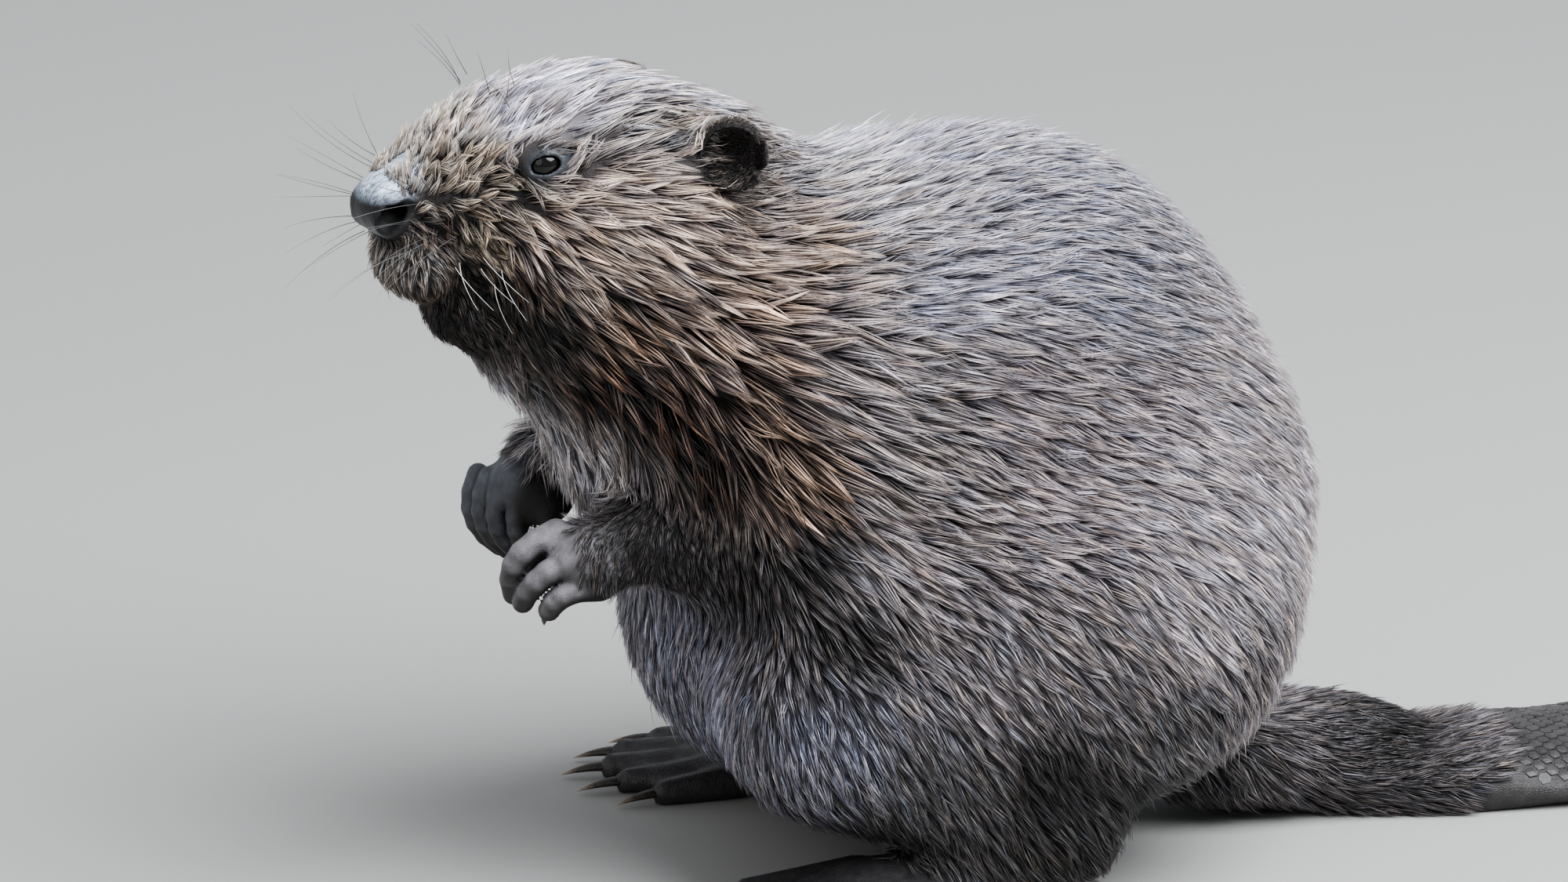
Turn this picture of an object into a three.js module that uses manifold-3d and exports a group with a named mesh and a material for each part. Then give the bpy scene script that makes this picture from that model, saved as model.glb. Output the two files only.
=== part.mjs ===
// A Eurasian beaver sitting up on its haunches, life size, as a still model in named pieces.
// Units are millimetres, +Z is up and the floor is z = 0. The animal faces -X, and its left side is -Y.
// The body is one smooth field of blended eggs and tapered limbs, drawn out to the tips of the coat.
// The field is meshed region by region, and thin cuts part it into the pieces that a person would name.
import * as THREE from "three";
import { mergeVertices } from "three/addons/utils/BufferGeometryUtils.js";
import Module from "manifold-3d";

const wasm = await Module();
wasm.setup();

// ---------------------------------------------------------------- driving dimensions
const gap = 0.3; // between neighbouring pieces
const ballSwell = 1.07; // how much a faceted ball is enlarged, to keep its mean size
const rowShift = [-79.8, 0, 0]; // puts the middle of the whole animal's length over the origin

const headOrigin = [-112, -8, 310]; // midway between the ears
const headYaw = 13; // degrees that the head turns to its left

const eyeRadius = 8;
const eyePlace = [72.5, 30.5, -1]; // forward, aside and up in the head's own frame
const earPlace = [-1.5, 47.5, -4];
const earSize = { across: 14, tall: 15, deep: 13, wall: 2.6, rimForward: 5 };
const earOutward = 57; // degrees that the ear's mouth turns out from straight ahead

const shoulder = [-74, 50, 204]; // x, distance from the middle plane, z
const elbow = [-64, 74, 138];
const wristRadius = 14;
const thumbRadius = 4.4;
const fingerTaper = 0.8; // from a digit's root to its tip
const fingerClaw = 6;
const thumbClaw = 3;
const paws = {
  left: {
    wrist: [-136, -46, 147],
    palm: [-155.5, -44.5, 141.5],
    palmHalf: [17, 14.5, 14.5],
    radius: 5.9,
    // each digit's root, middle joint and tip; the thumb is last
    digits: [
      [[-158, -33, 150], [-172, -31, 141], [-175, -27, 129]],
      [[-168, -38, 152], [-184.5, -41, 143], [-184, -32, 126]],
      [[-159.5, -45, 144], [-176.5, -48, 137], [-182, -39, 124.5]],
      [[-153.5, -50, 132], [-167, -52, 131], [-173.5, -47.5, 123]],
      [[-151, -34, 136], [-156, -30, 130], [-161, -28.5, 126]],
    ],
  },
  right: {
    wrist: [-151, 41, 158],
    palm: [-161, 36, 150.5],
    palmHalf: [14, 18, 12],
    radius: 4.9,
    digits: [
      [[-166, 26, 152], [-169, 24, 137], [-164, 27, 125]],
      [[-171.5, 34.5, 151.5], [-175, 32, 136], [-166.5, 35, 122]],
      [[-175, 43, 151], [-178.5, 40.5, 135], [-168, 43, 120]],
      [[-177.5, 52, 150], [-180.5, 49, 134], [-169.5, 50, 119.5]],
      [[-155, 22, 146], [-157, 17, 139], [-157, 15.5, 132]],
    ],
  },
};

const hip = [58, 64, 104];
const knee = [-66, 80, 80];
const ankle = [22, 84, 30];
const toeRoot = [-52, 88, 9];
const toeFan = [-4, 5, 13, 21, 30]; // degrees outward of straight ahead, inner toe first
const toeLengths = [46, 60, 66, 62, 50];
const toeRadius = 7;
const webCentre = [-74, 96, 4];
const webHalf = [33, 36, 4.5];
const webTurn = -13;
const toeClaw = 15;

const tailSweep = 6; // degrees that the tail turns to the animal's right
const bladeCentre = [296, 15, 7];
const bladeHalf = [112, 55, 11];

// ---------------------------------------------------------------- vectors
const rad = (degrees) => (degrees * Math.PI) / 180;
const vec = (p) => new THREE.Vector3(...p);
const onSide = (side, p) => [p[0], side * p[1], p[2]];

// The head's own axes: forward, left and up.
const headTurn = new THREE.Matrix4()
  .makeTranslation(...headOrigin)
  .multiply(new THREE.Matrix4().makeRotationZ(rad(180 + headYaw)));
const inHead = (forward, left, up) =>
  new THREE.Vector3(forward, left, up).applyMatrix4(headTurn).toArray();

// ---------------------------------------------------------------- the field's building blocks
// Each block has a distance function, which is negative inside, and the width over which it melts
// into what is there before it.
function egg(centre, half, blend, turn = [0, 0, 0]) {
  const spin = new THREE.Matrix3().setFromMatrix4(
    new THREE.Matrix4().makeRotationFromEuler(
      new THREE.Euler(rad(turn[0]), rad(turn[1]), rad(turn[2]), "ZYX"),
    ),
  );
  const e = spin.elements;
  const [a, b, c] = half;
  const distance = (x, y, z) => {
    const dx = x - centre[0];
    const dy = y - centre[1];
    const dz = z - centre[2];
    const px = (e[0] * dx + e[1] * dy + e[2] * dz) / a;
    const py = (e[3] * dx + e[4] * dy + e[5] * dz) / b;
    const pz = (e[6] * dx + e[7] * dy + e[8] * dz) / c;
    const k0 = Math.hypot(px, py, pz);
    const k1 = Math.hypot(px / a, py / b, pz / c);
    return k1 < 1e-9 ? -Math.min(a, b, c) : (k0 * (k0 - 1)) / k1;
  };
  return { distance, blend, solid: () => eggCutter(centre, half, 0, turn, 6) };
}

const headEgg = (centre, half, blend) =>
  egg(inHead(...centre), half, blend, [0, 0, 180 + headYaw]);

function limb(from, fromRadius, to, toRadius, blend) {
  const axis = vec(to).sub(vec(from));
  const length = axis.length();
  axis.normalize();
  const slope = (fromRadius - toRadius) / length;
  const across = Math.sqrt(1 - slope * slope);
  const distance = (x, y, z) => {
    const dx = x - from[0];
    const dy = y - from[1];
    const dz = z - from[2];
    const along = dx * axis.x + dy * axis.y + dz * axis.z;
    const out = Math.sqrt(Math.max(dx * dx + dy * dy + dz * dz - along * along, 0));
    const place = along * across - out * slope;
    if (place < 0) return Math.hypot(out, along) - fromRadius;
    if (place > length * across) return Math.hypot(out, along - length) - toRadius;
    return out * across + along * slope - fromRadius;
  };
  return { distance, blend, solid: () => limbSolid(from, fromRadius, to, toRadius) };
}

function melt(a, b, width) {
  const h = Math.max(width - Math.abs(a - b), 0) / width;
  return Math.min(a, b) - (h * h * width) / 4;
}

// One field from a list of blocks, in their order.
const fieldOf = (blocks) => (x, y, z) => {
  let f = 1e3;
  for (const { distance, blend } of blocks) f = melt(f, distance(x, y, z), blend);
  return f;
};

// ---------------------------------------------------------------- the animal's forms
const sides = { left: -1, right: 1 };
const both = Object.keys(sides);

const trunkForms = {
  haunches: egg([25, 0, 98], [76, 114, 100], 1),
  loin: egg([75, 0, 141], [78, 104, 82], 40),
  back: egg([13, 0, 196], [106, 90, 100], 40),
  paunch: egg([-27, 0, 106], [105, 97, 89], 40),
  withers: egg([-53, 0, 222], [85, 70, 58], 40),
  breast: egg([-82, 0, 187], [57, 64, 66], 40),
  nape: limb([-64, 0, 214], 56, inHead(20, 0, -32), 42, 40),
  throat: limb([-98, 0, 183], 59, inHead(44, 0, -65.5), 43.5, 36),
};

const headForms = {
  skull: headEgg([25, 0, -19.5], [65.5, 44, 33.5], 26),
  brow: headEgg([65, 0, -2], [46, 28, 28], 20),
  cheekLeft: headEgg([36, 22, -32.5], [45.5, 29, 54], 22),
  cheekRight: headEgg([36, -22, -32.5], [45.5, 29, 54], 22),
  muzzle: headEgg([94, 0, -25], [34, 26, 28.5], 20),
  bridge: headEgg([108, 0, -14], [25, 20, 12], 16),
  lipLeft: headEgg([117, 9, -43], [10.5, 16, 14], 12),
  lipRight: headEgg([117, -9, -43], [10.5, 16, 14], 12),
  chin: headEgg([96, 0, -62], [14.5, 19, 17.5], 14),
  jowl: headEgg([53.5, 0, -70], [38, 36, 37.5], 28),
  noseTip: headEgg([127.5, 0, -19.5], [11, 17.5, 13.2], 8),
};

const armForms = (s) => [
  limb(onSide(sides[s], shoulder), 42, onSide(sides[s], elbow), 33, 34),
  limb(onSide(sides[s], elbow), 32, paws[s].wrist, wristRadius, 14),
];

const legForms = (s) => [
  limb(onSide(sides[s], hip), 70, onSide(sides[s], knee), 42, 30),
  limb(onSide(sides[s], knee), 38, onSide(sides[s], ankle), 26, 24),
];

const tailForms = [
  egg([140, 2, 24], [64, 37, 25], 30, [0, 0, tailSweep]),
  egg([212, 7, 9], [66, 37, 14], 18, [0, 0, tailSweep]),
  egg(bladeCentre, bladeHalf, 20, [0, 0, tailSweep]),
];

// A forepaw: a short palm, four closed fingers and a small thumb, with the claws' places.
function pawOf({ wrist, palm, palmHalf, radius, digits }) {
  const forms = [limb(wrist, wristRadius - 1, palm, wristRadius - 2, 10), egg(palm, palmHalf, 8)];
  const claws = digits.map(([root, joint, tip], n) => {
    const thick = n < 4 ? radius : thumbRadius;
    const middle = (thick * (1 + fingerTaper)) / 2;
    const thin = thick * fingerTaper;
    forms.push(limb(root, thick, joint, middle, 5), limb(joint, middle, tip, thin, 2));
    const way = vec(tip).sub(vec(joint)).normalize();
    const from = vec(joint).sub(vec(root)).normalize();
    const bend = way.clone().sub(from);
    bend.addScaledVector(way, -bend.dot(way)).normalize();
    const end = vec(tip).addScaledVector(way, thin * ballSwell + gap);
    return { root: end, way, bend, radius: thick * 0.4, droop: 0.12 };
  });
  return { forms, claws };
}

// A hind foot: a long flat sole, five spread toes and the web between them.
function footOf(s) {
  const side = sides[s];
  const forms = [
    limb(onSide(side, ankle), 24, onSide(side, [-20, 86, 13]), 15, 14),
    limb(onSide(side, [0, 85, 10]), 13, onSide(side, toeRoot), 13, 10),
    egg(onSide(side, [-52, 89, 8]), [26, 25, 10], 10),
  ];
  const claws = [];
  toeFan.forEach((fan, i) => {
    const root = vec(onSide(side, [toeRoot[0] + 3 * i, toeRoot[1] + (i - 2) * 10, toeRoot[2]]));
    const way = new THREE.Vector3(-Math.cos(rad(fan)), side * Math.sin(rad(fan)), 0);
    const tip = root.clone().addScaledVector(way, toeLengths[i]).setZ(toeRadius * 0.7);
    forms.push(limb(root.toArray(), toeRadius + 1.5, tip.toArray(), toeRadius * 0.8, 4));
    const end = tip.clone().addScaledVector(way, toeRadius * 0.8 * ballSwell + gap);
    claws.push({ root: end, way, bend: new THREE.Vector3(0, 0, -1), radius: 3, droop: 0.12 });
  });
  forms.push(egg(onSide(side, webCentre), webHalf, 5, [0, 0, side * webTurn]));
  return { forms, claws };
}

// An ear's place and turn.
const earCentre = (s) => inHead(earPlace[0], -sides[s] * earPlace[1], earPlace[2]);
const earTurn = (s) => [0, 0, 180 + headYaw - sides[s] * earOutward];
const hands = { left: pawOf(paws.left), right: pawOf(paws.right) };
const feet = { left: footOf("left"), right: footOf("right") };
const body = fieldOf([
  ...Object.values(trunkForms),
  ...Object.values(headForms),
  ...both.flatMap(legForms),
  ...both.flatMap(armForms),
  ...tailForms,
]);

// ---------------------------------------------------------------- from a field to a closed mesh
// Surface nets on a regular grid: one vertex in each cell that the surface crosses, drawn on to
// the surface, and one quad across each grid edge that it crosses.
function netMesh(field, low, high, step) {
  const size = [0, 1, 2].map((i) => Math.ceil((high[i] - low[i]) / step[i]) + 1);
  const [nx, ny, nz] = size;
  const at = (i, j, k) => i + nx * (j + ny * k);
  const value = new Float64Array(nx * ny * nz);
  for (let k = 0; k < nz; k++)
    for (let j = 0; j < ny; j++)
      for (let i = 0; i < nx; i++) {
        const edge = !i || !j || !k || i === nx - 1 || j === ny - 1 || k === nz - 1;
        const f = field(low[0] + i * step[0], low[1] + j * step[1], low[2] + k * step[2]);
        value[at(i, j, k)] = edge ? Math.max(f, 1e-3) : f;
      }
  closePinches(value, size, at);
  const corners = [0, 1, 2, 3, 4, 5, 6, 7].map((c) => [c & 1, (c >> 1) & 1, c >> 2]);
  const edges = [];
  for (let a = 0; a < 8; a++)
    for (const bit of [1, 2, 4]) if (!(a & bit)) edges.push([a, a | bit]);
  const vertex = new Map();
  const points = [];
  for (let k = 0; k < nz - 1; k++)
    for (let j = 0; j < ny - 1; j++)
      for (let i = 0; i < nx - 1; i++) {
        const v = corners.map(([a, b, c]) => value[at(i + a, j + b, k + c)]);
        const sum = [0, 0, 0];
        let crossings = 0;
        for (const [a, b] of edges) {
          if (v[a] < 0 === v[b] < 0) continue;
          const t = v[a] / (v[a] - v[b]);
          for (let n = 0; n < 3; n++) sum[n] += corners[a][n] + t * (corners[b][n] - corners[a][n]);
          crossings++;
        }
        if (!crossings) continue;
        vertex.set(at(i, j, k), points.length);
        const cell = [i, j, k];
        points.push(sum.map((s, n) => low[n] + (cell[n] + s / crossings) * step[n]));
      }
  points.forEach((p) => drawOn(field, p, Math.min(...step) * 0.45));
  const index = [];
  const neighbours = [
    [1, 2],
    [2, 0],
    [0, 1],
  ];
  for (let k = 0; k < nz - 1; k++)
    for (let j = 0; j < ny - 1; j++)
      for (let i = 0; i < nx - 1; i++)
        for (let n = 0; n < 3; n++) {
          const here = [i, j, k];
          const there = [...here];
          there[n]++;
          const inside = value[at(...here)] < 0;
          if (inside === value[at(...there)] < 0) continue;
          const [u, w] = neighbours[n];
          const cells = [
            [0, 0],
            [1, 0],
            [1, 1],
            [0, 1],
          ].map(([du, dw]) => {
            const c = [...here];
            c[u] -= du;
            c[w] -= dw;
            return vertex.get(at(...c));
          });
          if (!inside) cells.reverse();
          const [a, b, c, d] = cells;
          const ac = vec(points[a]).distanceTo(vec(points[c]));
          const bd = vec(points[b]).distanceTo(vec(points[d]));
          index.push(...(ac < bd ? [a, b, c, a, c, d] : [b, c, d, b, d, a]));
        }
  const geometry = new THREE.BufferGeometry();
  geometry.setAttribute("position", new THREE.Float32BufferAttribute(points.flat(), 3));
  geometry.setIndex(index);
  return geometry;
}

// Where the four corners of a grid square lie inside and outside by turns, the surface would touch
// itself there. The outside corner that is nearer the surface is taken inside instead.
function closePinches(value, size, at) {
  const squares = [
    [[1, 0, 0], [0, 1, 0]],
    [[0, 1, 0], [0, 0, 1]],
    [[0, 0, 1], [1, 0, 0]],
  ];
  for (let changed = true; changed; ) {
    changed = false;
    for (let k = 0; k < size[2] - 1; k++)
      for (let j = 0; j < size[1] - 1; j++)
        for (let i = 0; i < size[0] - 1; i++)
          for (const [u, w] of squares) {
            const ring = [
              at(i, j, k),
              at(i + u[0], j + u[1], k + u[2]),
              at(i + u[0] + w[0], j + u[1] + w[1], k + u[2] + w[2]),
              at(i + w[0], j + w[1], k + w[2]),
            ];
            const inside = ring.map((n) => value[n] < 0);
            if (inside[0] !== inside[2] || inside[1] !== inside[3] || inside[0] === inside[1]) continue;
            const open = ring.filter((n) => value[n] >= 0);
            value[value[open[0]] < value[open[1]] ? open[0] : open[1]] = -1e-3;
            changed = true;
          }
  }
}

// Moves a point along the field's slope on to its surface, by no more than a given reach.
function drawOn(field, p, reach) {
  const h = 0.2;
  const start = [...p];
  for (let pass = 0; pass < 3; pass++) {
    const f = field(...p);
    const slope = [0, 1, 2].map((n) => {
      const q = [...p];
      q[n] += h;
      return (field(...q) - f) / h;
    });
    const steep = slope.reduce((s, g) => s + g * g, 1e-6);
    for (let n = 0; n < 3; n++) {
      p[n] -= (f * slope[n]) / steep;
      p[n] = Math.min(Math.max(p[n], start[n] - reach), start[n] + reach);
    }
  }
}

// ---------------------------------------------------------------- solids that can be cut
function solidOf(geometry, matrix = new THREE.Matrix4()) {
  const bare = geometry.clone().applyMatrix4(matrix);
  bare.deleteAttribute("normal");
  bare.deleteAttribute("uv");
  const merged = mergeVertices(bare, 1e-4);
  return new wasm.Manifold(
    new wasm.Mesh({
      numProp: 3,
      vertProperties: new Float32Array(merged.attributes.position.array),
      triVerts: new Uint32Array(merged.index.array),
    }),
  );
}

// A large block on one side of a plane: the plane passes through a point, and the block is on the
// side that the direction points to, set back by half the gap.
function halfSpace(point, direction, setBack = gap / 2) {
  const size = 900;
  const way = vec(direction).normalize();
  const turn = new THREE.Quaternion().setFromUnitVectors(new THREE.Vector3(0, 0, 1), way);
  const centre = vec(point).addScaledVector(way, size / 2 + setBack);
  return solidOf(
    new THREE.BoxGeometry(size, size, size),
    new THREE.Matrix4().compose(centre, turn, new THREE.Vector3(1, 1, 1)),
  );
}

function eggCutter(centre, half, grow, turn = [0, 0, 0], rings = 8) {
  const spin = new THREE.Quaternion().setFromEuler(
    new THREE.Euler(rad(turn[0]), rad(turn[1]), rad(turn[2]), "ZYX"),
  );
  return solidOf(
    new THREE.SphereGeometry(1, Math.round(rings * 1.6), rings),
    new THREE.Matrix4().compose(vec(centre), spin, vec(half.map((h) => h + grow))),
  );
}

function capsuleCutter(from, to, radius, grow) {
  const axis = vec(to).sub(vec(from));
  const turn = new THREE.Quaternion().setFromUnitVectors(
    new THREE.Vector3(0, 1, 0),
    axis.clone().normalize(),
  );
  return solidOf(
    new THREE.CapsuleGeometry(radius + grow, axis.length(), 2, 9),
    new THREE.Matrix4().compose(
      vec(from).addScaledVector(axis, 0.5),
      turn,
      new THREE.Vector3(1, 1, 1),
    ),
  );
}

// A tapered limb with round ends: a ball whose halves are sized and set apart.
function limbSolid(from, fromRadius, to, toRadius) {
  const axis = vec(to).sub(vec(from));
  const ball = new THREE.SphereGeometry(ballSwell, 5, 4);
  const points = ball.attributes.position;
  for (let i = 0; i < points.count; i++) {
    const ahead = points.getY(i) > 0;
    const r = ahead ? toRadius : fromRadius;
    const y = r * points.getY(i) + (ahead ? axis.length() : 0);
    points.setXYZ(i, r * points.getX(i), y, r * points.getZ(i));
  }
  const turn = new THREE.Quaternion().setFromUnitVectors(
    new THREE.Vector3(0, 1, 0),
    axis.clone().normalize(),
  );
  return solidOf(ball, new THREE.Matrix4().compose(vec(from), turn, new THREE.Vector3(1, 1, 1)));
}

const unionOf = (forms) => forms.map((form) => form.solid()).reduce((a, b) => a.add(b));

// A claw: a tapered horn that curves away from its root, just clear of the toe.
function clawSolid({ root, way, bend, radius, droop }, length) {
  const around = 5;
  const places = [0, 0.5, 1];
  const aside = way.clone().cross(bend);
  const points = [];
  places.forEach((t) => {
    const r = radius * (1 - 0.72 * t);
    for (let n = 0; n < around; n++) {
      const turn = (2 * Math.PI * n) / around;
      const p = root.clone().addScaledVector(way, length * t);
      p.addScaledVector(bend, droop * length * t * t);
      p.addScaledVector(aside, r * 0.85 * Math.cos(turn)).addScaledVector(bend, r * Math.sin(turn));
      points.push(...p.toArray());
    }
  });
  const index = [];
  for (let ring = 0; ring < places.length - 1; ring++)
    for (let n = 0; n < around; n++) {
      const a = ring * around + n;
      const b = ring * around + ((n + 1) % around);
      index.push(a, a + around, b, b, a + around, b + around);
    }
  const last = (places.length - 1) * around;
  for (let n = 1; n < around - 1; n++) {
    index.push(0, n, n + 1);
    index.push(last, last + n + 1, last + n);
  }
  const geometry = new THREE.BufferGeometry();
  geometry.setAttribute("position", new THREE.Float32BufferAttribute(points, 3));
  geometry.setIndex(index);
  return solidOf(geometry);
}

export const parts = new THREE.Group();
function add(name, solid, material) {
  const { vertProperties, triVerts } = solid.getMesh();
  const geometry = new THREE.BufferGeometry();
  geometry.setAttribute("position", new THREE.BufferAttribute(vertProperties, 3));
  geometry.setIndex(new THREE.BufferAttribute(triVerts, 1));
  geometry.computeVertexNormals();
  const mesh = new THREE.Mesh(geometry, material);
  mesh.name = name;
  parts.add(mesh);
}

const largest = (solid) =>
  solid.decompose().reduce((a, b) => (b.volume() > a.volume() ? b : a));

const coat = new THREE.MeshStandardMaterial({ color: 0x7d6f69, roughness: 0.85, metalness: 0 });
const skin = new THREE.MeshStandardMaterial({ color: 0x3c3a40, roughness: 0.6, metalness: 0 });
const eye = new THREE.MeshStandardMaterial({ color: 0x0b0907, roughness: 0.06, metalness: 0 });
const claw = new THREE.MeshStandardMaterial({ color: 0x4a423b, roughness: 0.4, metalness: 0 });
const scales = new THREE.MeshStandardMaterial({ color: 0x3a3634, roughness: 0.6, metalness: 0 });

// ---------------------------------------------------------------- the pieces
const region = (field, low, high, step) => solidOf(netMesh(field, low, high, step));
const before = ([point, way]) => halfSpace(point, way);
const behind = ([point, way]) => halfSpace(point, way.map((w) => -w));

// the flat cuts, each a point and the direction that it faces
const headWay = vec(inHead(0.92, 0, 0.39)).sub(vec(inHead(0, 0, 0))).toArray();
const cuts = {
  head: [inHead(-15, 0, -28), headWay],
  neck: [[-98, 0, 240], [-0.81, 0, 0.59]],
  shoulders: [[-28, 0, 160], [-0.97, 0, 0.24]],
  loin: [[72, 0, 160], [-0.95, 0, -0.3]],
  tail: [[134, 0, 40], [-1, 0, 0.15]],
  blade: [[188, 5, 10], [-1, -0.1, 0]],
};

// the rounded cuts, each of which can be grown
const armCutter = (s, grow) =>
  capsuleCutter(onSide(sides[s], [-78, 82, 212]), onSide(sides[s], [-58, 96, 132]), 40, grow);
const forearmCutter = (s, grow) =>
  capsuleCutter(onSide(sides[s], [-90, 70, 141]), paws[s].wrist, 26, grow);
const thighCutter = (s, grow) =>
  eggCutter(onSide(sides[s], [8, 104, 84]), [104, 52, 74], grow, [0, -14, 0], 6);
const footCutter = (s, grow) =>
  eggCutter(onSide(sides[s], [-32, 92, 0]), [114, 62, 33], grow, [0, 0, 0], 6);

// the box round each forearm that is meshed finely, and its grid's step
const forearmBox = { x: [-160, -60], aside: 62, half: 50, z: [90, 195], step: [12, 12, 12] };

const floor = halfSpace([0, 0, 0], [0, 0, 1], 0);
const trunkMesh = region(body, [-200, -150, -20], [190, 150, 340], [42, 38, 38]).intersect(floor);
const headMesh = region(body, [-280, -110, 190], [-80, 80, 365], [18, 15.5, 16]);
const tailMesh = region(body, [120, -70, -12], [425, 90, 84], [26, 19, 9]).intersect(floor);

// the head, with sockets for the eyes and ears, and a nose of its own
const noseCutter = (grow) =>
  eggCutter(inHead(130, 0, -20), [15, 22, 17], grow, [0, 0, 180 + headYaw]);
const eyeBall = (s, grow) => {
  const ball = inHead(eyePlace[0], -sides[s] * eyePlace[1], eyePlace[2]);
  return eggCutter(ball, [eyeRadius, eyeRadius, eyeRadius], grow, [0, 0, 0], 6);
};
let head = headMesh.intersect(before(cuts.head));
for (const s of both) {
  const { across, tall, deep } = earSize;
  head = head.subtract(eggCutter(earCentre(s), [deep, across, tall], gap, earTurn(s), 6));
  head = head.subtract(eyeBall(s, gap));
}
add("nose", largest(head.intersect(noseCutter(0))), skin);
add("head", largest(head.subtract(noseCutter(gap))), coat);

// An ear: a thin round cup, open forwards and outwards.
function ear(s) {
  const { across, tall, deep, wall, rimForward } = earSize;
  const centre = earCentre(s);
  const mouth = new THREE.Vector3(1, 0, 0).applyEuler(new THREE.Euler(0, 0, rad(earTurn(s)[2])));
  const outer = eggCutter(centre, [deep, across, tall], 0, earTurn(s), 6);
  const rim = vec(centre).addScaledVector(mouth, rimForward).toArray();
  const inner = eggCutter(rim, [deep + 2, across, tall], -wall, earTurn(s), 6);
  return outer.subtract(inner).subtract(halfSpace(rim, mouth.toArray(), 0));
}

// the trunk without its limbs, cut across into four
let trunk = trunkMesh;
for (const s of both) {
  trunk = trunk.subtract(armCutter(s, gap)).subtract(forearmCutter(s, gap));
  trunk = trunk.subtract(thighCutter(s, gap)).subtract(footCutter(s, gap));
}
trunk = trunk.intersect(behind(cuts.head));
const chest = trunk.intersect(behind(cuts.neck)).intersect(before(cuts.shoulders));
add("neck", largest(trunk.intersect(before(cuts.neck))), coat);
add("chest", largest(chest), coat);
add("belly", largest(trunk.intersect(behind(cuts.shoulders)).intersect(before(cuts.loin))), coat);
add("rump", largest(trunk.intersect(behind(cuts.loin)).intersect(before(cuts.tail))), coat);
const tailRoot = tailMesh.intersect(behind(cuts.tail)).intersect(before(cuts.blade));
add("tail_root", largest(tailRoot), coat);
add("tail_blade", largest(tailMesh.intersect(behind(cuts.blade))), scales);

for (const s of both) {
  const side = sides[s];
  add(`ear_${s}`, largest(ear(s)), coat);
  add(`eye_${s}`, eyeBall(s, 0), eye);

  // the arm and the paw
  const wrist = paws[s].wrist;
  const wristCut = [wrist, vec(paws[s].palm).sub(vec(wrist)).toArray()];
  const middle = side * forearmBox.aside;
  const low = [forearmBox.x[0], middle - forearmBox.half, forearmBox.z[0]];
  const high = [forearmBox.x[1], middle + forearmBox.half, forearmBox.z[1]];
  const forearm = region(body, low, high, forearmBox.step)
    .intersect(forearmCutter(s, 0))
    .intersect(behind(wristCut));
  const hand = unionOf(hands[s].forms).intersect(before(wristCut));
  const upperArm = trunkMesh
    .intersect(armCutter(s, 0))
    .intersect(behind(cuts.head))
    .subtract(forearmCutter(s, gap));
  add(`upper_arm_${s}`, largest(upperArm), coat);
  add(`forearm_${s}`, largest(forearm), coat);
  hands[s].claws.forEach((place, n) => {
    add(`finger_claw_${s}_${n + 1}`, clawSolid(place, n < 4 ? fingerClaw : thumbClaw), claw);
  });
  add(`hand_${s}`, largest(hand), skin);

  // the haunch and the hind foot
  const thigh = trunkMesh
    .intersect(thighCutter(s, 0))
    .subtract(footCutter(s, gap))
    .subtract(armCutter(s, gap))
    .subtract(forearmCutter(s, gap));
  add(`thigh_${s}`, largest(thigh), coat);
  const foot = unionOf(feet[s].forms).intersect(floor).intersect(footCutter(s, 0));
  feet[s].claws.forEach((place, n) => {
    add(`toe_claw_${s}_${n + 1}`, clawSolid(place, toeClaw), claw);
  });
  add(`foot_${s}`, largest(foot), skin);
}

parts.position.set(...rowShift);
export default parts;
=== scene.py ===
import itertools
import math

import bpy
import numpy as np
from mathutils import Matrix, Vector
from mathutils.kdtree import KDTree


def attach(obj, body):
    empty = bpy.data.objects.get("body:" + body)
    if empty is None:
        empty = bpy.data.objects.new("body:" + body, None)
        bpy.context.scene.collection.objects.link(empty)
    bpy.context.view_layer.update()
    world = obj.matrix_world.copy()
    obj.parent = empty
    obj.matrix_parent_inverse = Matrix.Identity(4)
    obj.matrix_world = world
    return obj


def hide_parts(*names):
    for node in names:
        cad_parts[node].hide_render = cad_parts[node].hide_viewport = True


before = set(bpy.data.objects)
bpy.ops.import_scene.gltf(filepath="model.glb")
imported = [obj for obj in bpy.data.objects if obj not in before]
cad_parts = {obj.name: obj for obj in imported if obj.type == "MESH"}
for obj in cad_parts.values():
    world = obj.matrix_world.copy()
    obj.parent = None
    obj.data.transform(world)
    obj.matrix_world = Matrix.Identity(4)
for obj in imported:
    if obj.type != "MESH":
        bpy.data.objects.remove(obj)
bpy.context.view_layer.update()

# ---------------------------------------------------------------- the stand, the lights, the camera
# The model stands on a plain pale floor that reaches back to a pale surround. A broad soft light
# hangs over it like an overcast sky, and a weak one fills from the front.
MM = 0.001
SHIFT = np.array([-79.8, 0.0, 0.0])
FLOOR_WIDTH = 18  # m
FLOOR_COLOUR = (0.42, 0.415, 0.40, 1)
SURROUND_COLOUR = (0.84, 0.87, 0.92, 1)
SURROUND_STRENGTH = 0.62
LIGHTS = [  # name, place and aim in metres, width in metres, watts, colour
    ("sky", (0.85, -1.05, 2.15), (-0.05, 0, 0.15), 2.6, 150, (0.93, 0.96, 1.0)),
    ("front fill", (-2.6, -1.6, 1.5), (-0.1, 0, 0.18), 2.6, 16, (1.0, 0.98, 0.95)),
]
VIEW_AZIMUTH = math.radians(-15)
VIEW_ELEVATION = math.radians(17)
VIEW_DISTANCE = 6.0  # m
VIEW_AIM = (-64.7, 0, 170.3)
VIEW_WIDTH = 0.625  # m of the frame at the animal
SENSOR_WIDTH = 36
VIEW_END = 60  # m


def world_point(place):
    return Vector((np.array(place) + SHIFT) * MM)


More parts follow.
